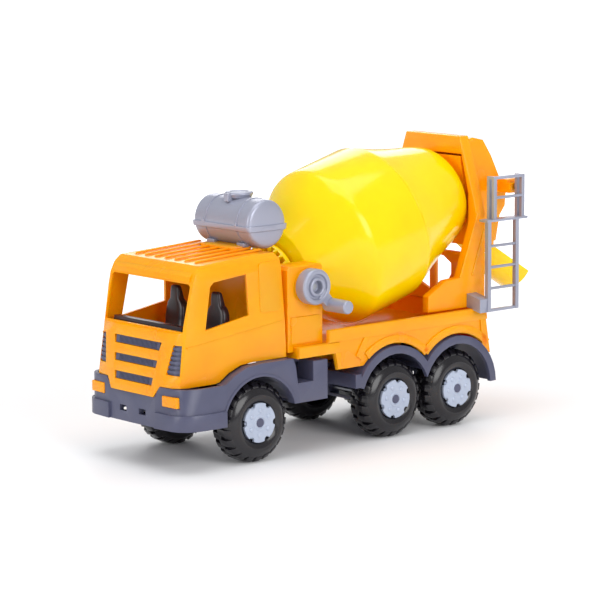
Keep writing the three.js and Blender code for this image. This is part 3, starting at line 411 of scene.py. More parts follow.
def repeat(kind, part, **inputs):
    """The part, drawn about the origin, copied by one of the trees. Returns one plain mesh."""
    tree = TREES[kind]
    source = bpy.data.objects.new("part", bpy.data.meshes.new("part"))
    part.to_mesh(source.data)
    part.free()
    carrier = bpy.data.objects.new("carrier", bpy.data.meshes.new("carrier"))
    for made in (source, carrier):
        bpy.context.scene.collection.objects.link(made)
    modifier = carrier.modifiers.new("copies", "NODES")
    modifier.node_group = tree
    identifiers = {s.name: s.identifier for s in tree.interface.items_tree if s.in_out == "INPUT"}
    for label, value in {"Part": source, **inputs}.items():
        modifier[identifiers[label]] = value
    bpy.context.view_layer.update()
    evaluated = carrier.evaluated_get(bpy.context.evaluated_depsgraph_get())
    mesh = bpy.data.meshes.new_from_object(evaluated)
    carrier.modifiers.clear()
    for made in (source, carrier):
        bpy.data.objects.remove(made)
    return mesh


def with_copies(bm, kind, part, **inputs):
    """Adds a repeated part to a mesh that is being built."""
    mesh = repeat(kind, part, **inputs)
    bm.from_mesh(mesh)
    bpy.data.meshes.remove(mesh)
    return bm


def shifted(bm, origin):
    """A part drawn in place, moved so that its origin is the world's, ready for the trees."""
    bmesh.ops.translate(bm, verts=bm.verts, vec=-origin)
    return bm


def softened(bm, width, steps=2):
    """Rounds every edge of a small part sharper than thirty degrees."""
    edges = [e for e in bm.edges if e.calc_face_angle(0) > math.radians(30)]
    bmesh.ops.bevel(bm, geom=edges, offset=width * MM, segments=steps, affect="EDGES",
                    profile=0.5)
    return bm


print("trees:", [t.name for t in TREES.values()])

# %% [markdown]
# ## Camera, floor and light
# A long lens at eye level to a child on the floor keeps the lorry's lines nearly parallel.
# A white sweep and big soft lights give the long highlights that tell the eye "glossy
# plastic". The world itself is a pale light, so no side falls into black.

# %% Camera
eye = Vector((1.583581, 1.7731, 0.4867))
target = Vector((0.053381, -0.0004, 0.1265))
ROLL = math.radians(-0.39)
LENS = 165.7  # long, in millimetres on a full-width sensor
SENSOR = 36.0
FARTHEST = 50  # metres, well past the floor's edge
camera = bpy.data.objects.new("camera", bpy.data.cameras.new("camera"))
bpy.context.scene.collection.objects.link(camera)
camera.data.lens = LENS
camera.data.sensor_width = SENSOR
camera.location = eye
camera.rotation_mode = "QUATERNION"
look = (target - eye).to_track_quat("-Z", "Y")
camera.rotation_quaternion = look @ Matrix.Rotation(ROLL, 3, "Z").to_quaternion()
camera.data.clip_end = FARTHEST
bpy.context.scene.camera = camera
bpy.context.scene.view_settings.view_transform = "Standard"
print("camera", round((target - eye).length, 3), "m away")

# %% Floor and lights
floor_mesh = bmesh.new()
bmesh.ops.create_grid(floor_mesh, x_segments=1, y_segments=1, size=12)
floor = bpy.data.objects.new("floor", bpy.data.meshes.new("floor"))
floor_mesh.to_mesh(floor.data)
floor_mesh.free()
bpy.context.scene.collection.objects.link(floor)
paper = bpy.data.materials.new("white_card")
paper.use_nodes = True
sheet = paper.node_tree.nodes["Principled BSDF"]
sheet.inputs["Base Color"].default_value = linear("#F8F8FA")
sheet.inputs["Roughness"].default_value = 0.6
sheet.inputs["Emission Color"].default_value = linear("#FFFFFF")
spot = add(paper.node_tree, "ShaderNodeTexCoord").outputs["Object"]
far = add(paper.node_tree, "ShaderNodeVectorMath", {"Vector": spot}, operation="LENGTH")
fade = add(paper.node_tree, "ShaderNodeMapRange", {"Value": far.outputs["Value"],
           "From Min": 0.35, "From Max": 1.6, "To Min": 0.0, "To Max": 0.6})
paper.node_tree.links.new(fade.outputs["Result"], sheet.inputs["Emission Strength"])
floor.data.materials.append(paper)

world = bpy.data.worlds.new("studio")
bpy.context.scene.world = world
world.use_nodes = True
sky = world.node_tree.nodes["Background"]
sky.inputs["Color"].default_value = linear("#FFFFFF")
seen = add(world.node_tree, "ShaderNodeLightPath").outputs["Is Camera Ray"]
level = add(world.node_tree, "ShaderNodeMapRange", {"Value": seen, "To Min": 0.5, "To Max": 1.0})
world.node_tree.links.new(level.outputs["Result"], sky.inputs["Strength"])


def soft_light(name, place, aim, width, height, power):
    lamp = bpy.data.objects.new(name, bpy.data.lights.new(name, "AREA"))
    lamp.data.shape = "RECTANGLE"
    lamp.data.size = width
    lamp.data.size_y = height
    lamp.data.energy = power
    lamp.location = place
    lamp.rotation_euler = (Vector(aim) - Vector(place)).to_track_quat("-Z", "Y").to_euler()
    bpy.context.scene.collection.objects.link(lamp)


soft_light("top", (0.1, 0.1, 1.5), (0, 0, 0), 1.3, 1.3, 11)
soft_light("key", (0.3, 1.8, 0.9), (0, 0, 0.1), 1.1, 1.1, 17)
soft_light("front", (1.9, -0.1, 0.7), (0.1, 0, 0.1), 0.8, 0.9, 10)
soft_light("back", (-1.2, -1.4, 1.1), (0, 0, 0.15), 1.0, 1.0, 8)

# %% [markdown]
# ## Wheels
# Each wheel is three mouldings: a hollow black tyre, a pale disc snapped into it, and a dark
# cap over the axle's end. The tyre is a turned section. Its tread is two staggered rings of
# chunky lugs that wrap over the shoulders, so one lug is drawn once and the ring tree turns
# it round the axle.

# %% Tyre
OUTER = (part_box("tyre_front_left")[1].y - DATUM.y) / MM
INNER = (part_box("tyre_front_left")[0].y - DATUM.y) / MM
CROWN = AXLE_Z
LUGS = 22
LUG_HEIGHT = 1.9
LUG_HALF = 3.1
LUG_SLANT = 0.16  # how far a lug leans round the tyre as it goes outward
SEAT_RADIUS = 17.3
TREAD = (OUTER + INNER) / 2


def tyre_section():
    base = CROWN - LUG_HEIGHT
    return rounded([
        (2.4, INNER + 6), (SEAT_RADIUS, INNER + 6), (SEAT_RADIUS + 3, INNER),
        (base - 5, INNER), (base - 0.8, INNER + 5), (base, TREAD), (base - 0.4, OUTER - 7.5),
        (base - 2.6, OUTER - 3.4), (base - 7.5, OUTER - 0.4), (SEAT_RADIUS + 5, OUTER),
        (SEAT_RADIUS + 1.6, OUTER - 1.2), (SEAT_RADIUS, OUTER - 2.4),
        (SEAT_RADIUS, OUTER - 3.7), (2.4, OUTER - 3.7),
    ], 2.4, 4)


def lug(low_edge, shoulder, high_edge):
    """Half a tread block: an outline of (distance out, radius) given a width round the tyre."""
    section = [
        (low_edge, CROWN - LUG_HEIGHT - 1.2), (shoulder, CROWN - LUG_HEIGHT - 1.6),
        (high_edge, CROWN - 7.4), (high_edge, CROWN - 4.0), (shoulder, CROWN - 0.4),
        (low_edge, CROWN),
    ]
    bm = bmesh.new()
    ends = [[bm.verts.new(Vector((s * LUG_HALF + (y - TREAD) * LUG_SLANT, y, r)) * MM)
             for y, r in section] for s in (-1, 1)]
    bm.faces.new(ends[0])
    bm.faces.new(ends[1])
    for k in range(len(section)):
        n = (k + 1) % len(section)
        bm.faces.new([ends[0][k], ends[0][n], ends[1][n], ends[1][k]])
    bmesh.ops.recalc_face_normals(bm, faces=bm.faces)
    return softened(bm, 0.5)


def tyre(name, side):
    place = outward(AXLES[name], AXLE_Z, side)
    bm = turned(tyre_section(), 96, place, ring=True)
    pitch = math.tau / LUGS
    halves = [(lug(TREAD - 1.5, OUTER - 7, OUTER - 3.2), 0.0),
              (lug(TREAD + 1.5, INNER + 6.5, INNER + 3.2), pitch / 2)]
    for part, phase in halves:
        if side < 0:
            bmesh.ops.scale(part, verts=part.verts, vec=(1, -1, 1))
            bmesh.ops.recalc_face_normals(part, faces=part.faces)
        with_copies(bm, "ring", part, Count=LUGS, Axis=(0.0, 1.0, 0.0),
                    Centre=at(AXLES[name], 0, AXLE_Z), Phase=phase, Material=TYRE)
    return bm


# %% [markdown]
# The disc is nearly flat, with six bites out of its rim and six low round bumps between them.
# A little clip of the disc's own plastic sits back in each bite. A bump is a tiny turned cap,
# and the ring tree places all six.

# %% Disc and cap
FACE = (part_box("hub_disc_front_left")[1].y - DATUM.y) / MM
DISC_RADIUS = 16.9
BITES = 6
BITE_RADIUS = 2.7
PHASES = {"front": 3, "middle": 41, "rear": 25}  # how far round each wheel stands at rest


def disc_outline(x):
    points = []
    step = 360 / BITES
    half = math.degrees(BITE_RADIUS / DISC_RADIUS)
    for k in range(BITES):
        a = k * step
        points += arc(x, AXLE_Z, DISC_RADIUS, a + half, a + step - half, 14)
        b = math.radians(a + step)
        u, v = x + DISC_RADIUS * math.cos(b), AXLE_Z + DISC_RADIUS * math.sin(b)
        points += arc(u, v, BITE_RADIUS, a + step - 100, a + step - 260, 8)
    return points


def disc(name, side):
    x = AXLES[name]
    turn = math.radians(180 - PHASES[name])
    bm = prism(disc_outline(x), "y", side * (FACE - 3.4), side * (FACE - 0.5))
    softened(bm, 0.35, 2)
    place = outward(x, AXLE_Z, side)
    ring = [(4.5, FACE - 0.6), (4.9, FACE), (6.4, FACE), (7.0, FACE - 0.6)]
    turned(rounded(ring, 0.3, 2), 48, place, ring=True, bm=bm)
    centre = at(x, 0, AXLE_Z)
    cap = turned(rounded([(0, -0.6), (2.3, -0.6), (2.3, 0.3), (1.3, 1.0), (0, 1.0)], 0.5, 3,
                         closed=False), 20, Matrix.Diagonal((1, side, 1, 1)))
    bmesh.ops.translate(cap, verts=cap.verts,
                        vec=Vector((10.6, side * (FACE - 0.6), 0)) * MM)
    with_copies(bm, "ring", cap, Count=BITES, Axis=(0.0, 1.0, 0.0), Centre=centre,
                Phase=math.radians(180 / BITES), Material=DISC)
    clip = bmesh.new()
    bmesh.ops.create_cube(clip, size=1.0)
    bmesh.ops.scale(clip, verts=clip.verts, vec=Vector((1.6, 1.6, 2.4)) * MM)
    softened(clip, 0.4)
    bmesh.ops.translate(clip, verts=clip.verts,
                        vec=Vector((14.4, side * (FACE - 3.0), 0)) * MM)
    with_copies(bm, "ring", clip, Count=BITES, Axis=(0.0, 1.0, 0.0), Centre=centre, Phase=0.0,
                Material=DISC)
    bmesh.ops.rotate(bm, verts=bm.verts, cent=centre, matrix=Matrix.Rotation(turn, 3, "Y"))
    return bm


def hub_cap(name, side):
    section = rounded([(0, FACE - 2), (3.9, FACE - 2), (3.9, FACE + 0.1), (2.6, FACE + 0.5),
                       (0, FACE + 0.5)], 0.5, 3, closed=False)
    return turned(section, 40, outward(AXLES[name], AXLE_Z, side))


for axle in AXLES:
    body = axle + "_wheels"
    for label, side in SIDES.items():
        tag = axle + "_" + label
        finish("tyre_moulding_" + tag, tyre(axle, side), TYRE, body,
               ["tyre_" + tag], sharp=42)
        finish("wheel_disc_" + tag, disc(axle, side), DISC, body,
               ["hub_disc_" + tag])
        finish("wheel_cap_" + tag, hub_cap(axle, side), SLATE, body,
               ["hub_cap_" + tag], sharp=50)
print(len(PIECES), "wheel pieces")

# %% [markdown]
# ## Bumper, fenders and steps
# One slate moulding makes the bumper, the front wheel arches and the steps behind them. Its
# outline comes from the frame.

# %% Slate bodywork
def arch_lip(x, radius, width, depth, side, low, high, bm):
    """A thin rolled edge along a wheel opening, standing out of the face."""
    outer = arc(x, AXLE_Z, radius + width, low, high, 28)
    inner = arc(x, AXLE_Z, radius, high, low, 28)
    face = across("front_bumper")[1] + side * FENDER_FACE
    return prism(outer + inner, "y", face - side * 1.5, face + side * depth, bm)


FENDER_FACE = 67.0
FRONT_ARCH = 39.5
bm = from_frame("front_bumper")
for side in SIDES.values():
    arch_lip(0, FRONT_ARCH, 2.2, 0.5, side, 5, 161, bm)
finish("bumper_and_arches", bm, SLATE, "truck", ["front_bumper"], bevel=0.7)

for label, side in SIDES.items():
    bm = from_frame("rear_fender_" + label)
    finish("rear_arches_" + label, bm, SLATE, "truck",
           ["rear_fender_" + label], bevel=0.8, sharp=40)

for label in SIDES:
    node = "headlamp_" + label
    bm = softened(from_frame(node), 0.8, 3)
    finish("lamp_" + label, bm, ORANGE, "truck", [node], sharp=50)

# %% [markdown]
# ## Chassis, axles and screws
# These stay as they are in the frame: straight channels, clips and turned rods whose shape is
# already right. They only need their finish.

# %% Finish the hidden structure
kept = {SLATE: ["chassis_frame"] + ["axle_clip_" + a for a in AXLES],
        STEEL: ["axle_" + a for a in AXLES] + ["drum_spindle", "crank_shaft", "crank_screw"]
        + ["chassis_screw_%d" % k for k in (1, 2, 3, 4)]}
for material, nodes in kept.items():
    for node in nodes:
        mesh = frame["nodes"][node].data
        mesh.materials.clear()
        mesh.materials.append(material)
print("kept", sum(len(n) for n in kept.values()), "nodes")

# %% [markdown]
# ## Cab
# The cab is one orange shell, open at the windscreen, the side windows and the back. The frame
# gives its walls and openings. Added here are what the mould cuts into it: ridges along the
# roof, a raised plaque at the roof's rear, a brow over the windscreen, a raised panel behind
# each side window and a fold line across the door.

# %% Cab shell
ROOF_FRONT = 171.0
ROOF_REAR = 175.5
CAB_HALF = 58.0


def roof_at(x):
    """Height of the roof's sheet over a place x."""
    return ROOF_FRONT + (ROOF_REAR - ROOF_FRONT) * (53 - x) / (53 + 24)


def roof_ridge():
    """One ridge, drawn along the roof in the centre plane, to be copied across it."""
    section = [(48, roof_at(48) + 0.2), (46, roof_at(46) + 2.0), (-22, roof_at(-22) + 2.2),
               (-25, roof_at(-25) + 0.4)]
    bm = prism(section, "y", -1.1, 1.1)
    return shifted(softened(bm, 0.6, 2), at(0, 0, 0))


def side_wall_y(z):
    """The cab's side leans in above the waist."""
    return CAB_HALF - max(0.0, z - 115) * 2.4 / 49


def side_relief(points, low, high, side, bm):
    """A raised outline on the leaning side wall, from low inside the wall to high outside it."""
    before = set(bm.verts)
    prism(points, "y", 0, 1, bm)
    for v in set(bm.verts) - before:
        z = v.co.z / MM
        out = high if v.co.y > DATUM.y + 0.5 * MM else low
        v.co.y = DATUM.y + side * (side_wall_y(z) + out) * MM
    bmesh.ops.recalc_face_normals(bm, faces=bm.faces)


bm = from_frame("cab_shell")
for side in SIDES.values():
    panel = rounded([(-8, 126), (-8, 168), (-30.5, 168), (-31.5, 126)], 4, 4)
    side_relief(panel, -1, 0.45, side, bm)
    fold = [(70, 104.5), (70, 105.6), (-33, 117.6), (-33, 116.4)]
    side_relief(fold, -1, 0.3, side, bm)
brow = [(62.5, 158.4), (61.6, 162.4), (58.2, 165.6), (54, 165), (54, 158.4)]
prism(brow, "y", -51, 51, bm)
finish("cab", bm, ORANGE, "truck", ["cab_shell"], bevel=0.9, steps=3)

RIDGES = 7
spacing = 13.4
mesh = repeat("row", roof_ridge(), Count=RIDGES, Start=at(0, -spacing * (RIDGES - 1) / 2, 0),
              Step=Vector((0, spacing, 0)) * MM, Material=ORANGE)
bm = bmesh.new()
bm.from_mesh(mesh)
bpy.data.meshes.remove(mesh)
finish("roof_ridges", bm, ORANGE, "truck", sharp=40)

# %% [markdown]
# The plaque on the roof is a plain slanted plate with a raised border, left blank.

# %% Roof plaque
def plaque():
    outer = [(-9, -24), (-9, 20), (-27, 26), (-27, -18)]
    bm = bmesh.new()
    for grow, rise in ((0, 2.8), (-3, 3.2)):
        c = Vector((-18, 1))
        ring = [c + (Vector(p) - c) * (1 + grow / 20) for p in outer]
        ring = rounded(ring, 3, 4)
        low = len(bm.verts)
        prism(ring, "z", 0, 1, bm)
        bm.verts.ensure_lookup_table()
        for v in bm.verts[low:]:
            x = (v.co.x - DATUM.x) / MM
            top = v.co.z > 0.5 * MM
            v.co.z = (roof_at(x) + (rise if top else 0.4)) * MM
    return bm


finish("roof_plaque", softened(plaque(), 0.4, 2), ORANGE, "truck", sharp=40)

# %% [markdown]
# ## Grille
# Behind three slots in the cab's nose sits a dark insert with fine upright ribs. The nose leans
# back, so the ribs are drawn on the slope, and each slot gets its own row of copies. The tall
# vents at the corners have six cross bars each, which follow the cab's rounded corner.

# %% Grille insert and ribs
NOSE_FOOT = Vector((84.6, 62.0))
NOSE_HEAD = Vector((76.0, 116.0))


def nose_x(z):
    return NOSE_FOOT.x + (NOSE_HEAD.x - NOSE_FOOT.x) * (z - NOSE_FOOT.y) / (NOSE_HEAD.y - NOSE_FOOT.y)


nose = bmesh.new()
nose.from_mesh(frame["nodes"]["cab_shell"].data)
nose_tree = BVHTree.FromBMesh(nose)
nose.free()


def skin_x(y, z):
    """The cab's outer face across a corner vent, carried down from two readings above it."""
    low, high = (nose_tree.ray_cast(at(150, y, level), Vector((-1, 0, 0)))[0].x
                 for level in (109, 115))
    return (low + (high - low) * (z - 109) / 6 - DATUM.x) / MM


def skin_strip(low, high, front, back, side, bm):
    """A strip across a corner vent, between two depths under the cab's curved face."""
    rows = []
    for k in range(7):
        ring = []
        for z, depth in ((low, back), (low, front), (high, front), (high, back)):
            inner = 41.3 + 5.0 * (z - 82.3) / 24.8
            outer = 54.0 - 0.8 * (z - 81.8) / 25.0
            y = side * (inner + (outer - inner) * k / 6)
            ring.append(bm.verts.new(at(skin_x(y, z) - depth, y, z)))
        rows.append(ring)
    faces = [bm.faces.new(rows[0]), bm.faces.new(rows[-1])]
    for a, b in zip(rows, rows[1:]):
        faces += [bm.faces.new([a[k], a[(k + 1) % 4], b[(k + 1) % 4], b[k]]) for k in range(4)]
    bmesh.ops.recalc_face_normals(bm, faces=faces)


SLOTS = [(100.6, 107.6, 30), (86.0, 92.4, 28), (71.1, 77.8, 25)]  # low, high, half width
RIB_PITCH = 1.7
bm = from_frame("grille_insert")
for low, high, half in SLOTS:
    low, high = low + 1.2, high - 1.2
    rib = prism([(nose_x(low) - 1.4, low), (nose_x(low) - 0.4, low), (nose_x(high) - 0.4, high),
                 (nose_x(high) - 1.4, high)], "y", -0.42, 0.42)
    count = int((2 * half - 9) / RIB_PITCH)
    with_copies(bm, "row", shifted(rib, at(0, 0, 0)), Count=count,
                Start=at(0, -RIB_PITCH * (count - 1) / 2, 0),
                Step=Vector((0, RIB_PITCH, 0)) * MM, Material=SLATE)
for side in SIDES.values():
    skin_strip(82.4, 106.6, 1.9, 2.7, side, bm)
    for k in range(6):
        skin_strip(84.0 + 3.8 * k, 86.2 + 3.8 * k, 0.5, 2.0, side, bm)
finish("grille", bm, SLATE, "truck", ["grille_insert"])

# %% [markdown]
# ## Inside the cab
# The floor, the dashboard and both seats are one dark plastic. The seats are blow-moulded, so
# everything on them is round. Each is a stack of soft rectangles, like slices of a bottle:
# cushion, back, shoulders and headrest.

# %% Interior and seats
finish("floor_and_dashboard", from_frame("cab_interior"), SEAT, "truck",
       ["cab_interior"], bevel=0.8)


def soft_slice(bm, x0, x1, y, half, z):
    """A rounded rectangle at one height."""
    verts = []
    for k in range(36):
        a = math.tau * k / 36
        c, d = math.cos(a), math.sin(a)
        u = math.copysign(abs(c) ** 0.55, c)
        v = math.copysign(abs(d) ** 0.55, d)
        verts.append(bm.verts.new(at((x0 + x1) / 2 + u * (x1 - x0) / 2, y + v * half, z)))
    return verts


def seat(node):
    (x0, x1), (y0, y1), (low, high) = extent(node)
    y = (y0 + y1) / 2
    rows = [(low, x0 + 1, x1 - 1, 11.4), (low + 1.2, x0 + 0.2, x1 - 0.2, 12.2),
            (low + 9, x0 + 0.2, x1 - 0.3, 12.4), (low + 12.6, x0 + 0.3, x1 - 1.4, 12.4),
            (low + 14.8, x0 + 0.4, x1 - 4, 12.4), (low + 16, x0 + 0.5, x1 - 9, 12.4),
            (low + 17.2, x0 + 0.6, x1 - 15.2, 12.4), (low + 19, x0 + 0.7, x1 - 16.6, 12.4),
            (high - 27, x0 + 0.9, x1 - 17.4, 12.4), (high - 19.5, x0 + 1, x1 - 18.4, 11.7),
            (high - 15.4, x0 + 1.1, x1 - 18.8, 10.2), (high - 12.9, x0 + 1.5, x1 - 19, 8.2),
            (high - 11.6, x0 + 2.1, x1 - 19, 6.5), (high - 6, x0 + 3.4, x1 - 19.1, 5.8),
            (high - 2.2, x0 + 4.4, x1 - 19.3, 5.2), (high - 0.6, x0 + 5, x1 - 19.8, 4.4),
            (high, x0 + 5.8, x1 - 20.6, 3.2)]
    bm = bmesh.new()
    slices = [soft_slice(bm, a, b, y, half, z) for z, a, b, half in rows]
    faces = [bm.faces.new(slices[0]), bm.faces.new(slices[-1])]
    for lower, upper in zip(slices, slices[1:]):
        for k in range(36):
            n = (k + 1) % 36
            faces.append(bm.faces.new([lower[k], lower[n], upper[n], upper[k]]))
    bmesh.ops.recalc_face_normals(bm, faces=faces)
    return bm


for label in SIDES:
    finish("seat_" + label + "_moulding", seat("seat_" + label), SEAT, "truck",
           ["seat_" + label], sharp=60)

# %% [markdown]
# ## Tank
# The air tank on the roof is two silver half shells that meet at a flange. Narrow straps run
# round both, with a small snap lug by the seam, and a hatch with a hinge block sits on top.
# Both halves are cut from one turned body, so their walls always meet.

# %% Tank shells
TANK_LOW, TANK_HIGH = 191.0, 196.0  # the flange
LIP = 1.2  # how far the flange stands out
(tank_rear, tank_nose), (_, tank_end), (_, tank_top) = extent("tank_upper_shell")
TANK_X = (tank_rear + tank_nose) / 2
TANK_HALF = tank_end - LIP
TANK_RADIUS = (tank_nose - tank_rear) / 2 - LIP
TANK_Z = tank_top - TANK_RADIUS


def tank_body(grow, bm=None):
    r, h = TANK_RADIUS + grow, TANK_HALF + grow
    half = [(0, h), (r - 8, h - 0.4), (r - 0.2, h - 1.6), (r, h - 9), (r, h - 14)]
    section = [(a, -b) for a, b in half] + [(a, b) for a, b in reversed(half)]
    return turned(rounded(section, 5, 6, closed=False), 96, outward(TANK_X, TANK_Z), bm=bm)


def cut_away(bm, z, keep_above):
    """Keeps one side of a level plane and closes the cut."""
    geometry = bm.verts[:] + bm.edges[:] + bm.faces[:]
    made = bmesh.ops.bisect_plane(bm, geom=geometry, plane_co=at(0, 0, z), plane_no=(0, 0, 1),
                                  clear_inner=keep_above, clear_outer=not keep_above)
    rim = [e for e in made["geom_cut"] if isinstance(e, bmesh.types.BMEdge)]
    bmesh.ops.contextual_create(bm, geom=rim)
    bmesh.ops.recalc_face_normals(bm, faces=bm.faces)
    return bm


def merge(bm, other):
    mesh = bpy.data.meshes.new("part")
    other.to_mesh(mesh)
    other.free()
    bm.from_mesh(mesh)
    bpy.data.meshes.remove(mesh)
    return bm


def straps():
    """Two raised bands round the tank."""
    bm = bmesh.new()
    for y in (-21, 21):
        r = TANK_RADIUS
        ring = [(r - 1, y - 1.1), (r + 0.6, y - 0.8), (r + 0.6, y + 0.8), (r - 1, y + 1.1)]
        turned(ring, 96, outward(TANK_X, TANK_Z), ring=True, bm=bm)
    return bm


upper = cut_away(tank_body(0), TANK_LOW + 0.2, True)
flange = cut_away(cut_away(tank_body(LIP), TANK_LOW + 0.2, True), TANK_HIGH, False)
merge(upper, softened(flange, 0.35))
merge(upper, cut_away(straps(), TANK_LOW + 0.2, True))
for y in (-24.5, 19):
    merge(upper, softened(block(TANK_X + 19.6, TANK_X + 22.4, y, y + 3.2, TANK_HIGH - 1.2,
                                TANK_HIGH + 2.4), 0.5))
finish("tank_upper", upper, SILVER, "truck", ["tank_upper_shell"], sharp=38)
lower = cut_away(tank_body(0), TANK_LOW - 0.1, False)
merge(lower, cut_away(straps(), TANK_LOW - 0.1, False))
foot_high = TANK_Z - TANK_RADIUS + 5
for y in (-20, 20):
    foot = block(TANK_X + 1, TANK_X + 16, y - 5, y + 5, ROOF_REAR + 1.6, foot_high)
    merge(lower, softened(foot, 0.6))
finish("tank_lower", lower, SILVER, "truck", ["tank_lower_shell"], sharp=38)

# %% Tank hatch
hatch_foot = TANK_Z + TANK_RADIUS
section = [(0, hatch_foot - 1), (10.6, hatch_foot - 1), (11.6, hatch_foot + 1.4),
           (12.2, hatch_foot + 1.8), (12.2, hatch_foot + 3.4), (11.2, hatch_foot + 4.3),
           (8.2, hatch_foot + 4.3), (7.4, hatch_foot + 3.4), (0, hatch_foot + 3.4)]
bm = turned(rounded(section, 0.5, 3, closed=False), 56, upward(TANK_X, 0))
merge(bm, softened(block(TANK_X + 9.5, TANK_X + 14.6, -2.8, 2.8, hatch_foot - 3.5,
                         hatch_foot + 3.6), 0.5))
finish("tank_hatch_lid", bm, SILVER, "truck", ["tank_hatch"], sharp=40)
print("tank done,", len(PIECES), "pieces so far")

# %% [markdown]
# ## Mixer body
# The long orange box behind the cab is plain inside, but its sides carry a raised rail along
# the top, bands that follow the wheel arches, and uprights between them. They stiffen a thin
# wall. Each is an outline on the side wall, standing out by little more than a millimetre.

# %% Body sides
BODY_HALF = 64.0
PROUD = 1.3


def side_band(points, side, bm, proud=PROUD):
    prism(points, "y", side * (BODY_HALF - 1), side * (BODY_HALF + proud), bm)


def arch_band(x, inner, width, start, end, side, bm):
    outer = arc(x, AXLE_Z, inner + width, start, end, 20)
    side_band(outer + arc(x, AXLE_Z, inner, end, start, 20), side, bm)


bm = from_frame("mixer_body")
for side in SIDES.values():
    side_band([(-78.5, 93.2), (-78.5, 103.6), (-266.4, 103.6), (-268.3, 93.2)], side, bm)
    side_band([(-44.5, 83.4), (-44.5, 92.6), (-91, 92.6), (-91, 83.4)], side, bm)
    side_band([(-85.4, 84), (-91.4, 84), (-94, 69), (-88.4, 69)], side, bm)
    arch_band(AXLES["middle"], 49.7, 7.0, 52, 136, side, bm)
    arch_band(AXLES["rear"], 49.7, 7.0, 44, 136, side, bm)
    side_band([(-116, 74), (-109.5, 78), (-119, 93.4), (-126, 93.4)], side, bm)
    side_band([(-268.6, 64), (-262.5, 64), (-259.6, 93.4), (-266, 93.4)], side, bm)
finish("mixer_body_sides", bm, ORANGE, "truck", ["mixer_body"], bevel=0.5)

# %% [markdown]
# ## Gear housing
# Two hollow posts with an open bay between them carry the drum's front bearing and the crank.
# The frame's outline is right. A flat ring stands round the crank's bore, where the crank's
# wheel runs against it, and a shallow panel line breaks up the tall outer wall.

# %% Gear housing
CRANK_X, _, CRANK_Z = (v / MM for v in (
    Vector(next(j for j in frame["joints"] if j["name"] == "crank_spin")["pos_m"]) - DATUM))
CRANK_Z += DATUM.z / MM
bm = from_frame("gear_housing")
for side in SIDES.values():
    wear_ring = [(4.0, 57.5), (14.6, 57.5), (14.2, 59.2), (4.4, 59.2)]
    turned(rounded(wear_ring, 0.4, 2), 48, outward(CRANK_X, CRANK_Z, side), ring=True, bm=bm)
    frame_line = [(-74, 95), (-41.5, 95), (-41.5, 118), (-74, 118)]
    prism(frame_line, "y", side * 57, side * 58.9, bm)
finish("drum_gear_housing", bm, ORANGE, "truck", ["gear_housing"], bevel=0.9,
       steps=3)

# %% [markdown]
# ## Drum
# The drum is two blow-moulded yellow shells. The front one is a dome with a straight band, the
# rear one a long cone ending in a neck. Turning a section keeps the curve exact. The section is
# written as distance along the drum's own axis, which comes from the joint it spins on.

# %% The drum's own frame
drum_joint = next(j for j in frame["joints"] if j["name"] == "drum_spin")
DRUM_AXIS = Vector(drum_joint["axis"]).normalized()


def drum_place():
    side = Vector((0, 1, 0))
    matrix = Matrix((side, DRUM_AXIS, side.cross(DRUM_AXIS))).transposed().to_4x4()
    return Matrix.Translation(Vector(drum_joint["pos_m"])) @ matrix


DRUM = drum_place()
print("drum axis tilts", round(math.degrees(math.asin(DRUM_AXIS.z)), 1), "degrees")

# %% Drum shells
WALL = 2.0
BAND = 72.0
front_section = [
    (5.2, 14.6), (26, 14.6), (30, 15.2), (35.4, 19.8), (37.2, 21.2), (44.4, 33.5), (50.2, 42.6),
    (56.4, 51.2), (62.6, 58.8), (67.6, 65), (70.4, 69.4), (71.7, 73.2), (BAND, 78),
    (BAND, 131.9), (BAND - WALL, 131.9), (BAND - WALL, 78), (69.4, 73.6), (66, 67), (60, 59.6),
    (46, 40), (34.5, 21.5), (28.5, 17), (5.2, 16.8),
]
rear_section = [
    (71.2, 132.4), (70.9, 134), (66.8, 143.6), (62.6, 154), (58.6, 165), (54.9, 176),
    (51.9, 186), (49.2, 195.6), (46.4, 203.6), (43.6, 209.8), (39.6, 214), (30.6, 216.4),
    (29.9, 218.6), (29.9, 226), (28, 226), (28, 215.2), (37, 212.4), (41, 208.6),
    (44, 202.6), (49.4, 186.4), (56, 165), (60.2, 153), (66.6, 138.6), (68.4, 132.4),
]
bm = turned(rounded(front_section, 1.2, 2), 128, DRUM, ring=True)
finish("drum_front", bm, YELLOW, "drum", ["drum_front_shell"], sharp=38)
bm = turned(rounded(rear_section, 1.2, 2), 128, DRUM, ring=True)
finish("drum_rear", bm, YELLOW, "drum", ["drum_rear_shell"], sharp=38)

# %% [markdown]
# The crown gear on the drum's nose meshes with the crank's pinion. Its teeth are one tapered
# block turned round the drum's axis by the ring tree, and the disc behind them is turned.

# %% Crown gear
TEETH = 24
PITCH_RADIUS = 24.0
GEAR_INNER, GEAR_OUTER = 20.4, 27.6
TIP, ROOT, BACK = 6.4, 10.2, 14.2
pitch = math.tau * PITCH_RADIUS / TEETH
disc_section = rounded([(4.1, ROOT), (GEAR_OUTER, ROOT), (GEAR_OUTER, BACK), (4.1, BACK)], 0.4, 2)
bm = turned(disc_section, 96, DRUM, ring=True)
tooth = bmesh.new()
corners = []
for radius in (GEAR_INNER, GEAR_OUTER):
    for half, height in ((-0.235, ROOT + 0.5), (-0.11, TIP), (0.11, TIP), (0.235, ROOT + 0.5)):
        spot = DRUM.to_3x3() @ (Vector((radius, height, half * pitch)) * MM)
        corners.append(tooth.verts.new(spot))
for face in ((0, 1, 2, 3), (7, 6, 5, 4), (0, 4, 5, 1), (1, 5, 6, 2), (2, 6, 7, 3), (3, 7, 4, 0)):
    tooth.faces.new([corners[k] for k in face])
bmesh.ops.recalc_face_normals(tooth, faces=tooth.faces)
softened(tooth, 0.25)
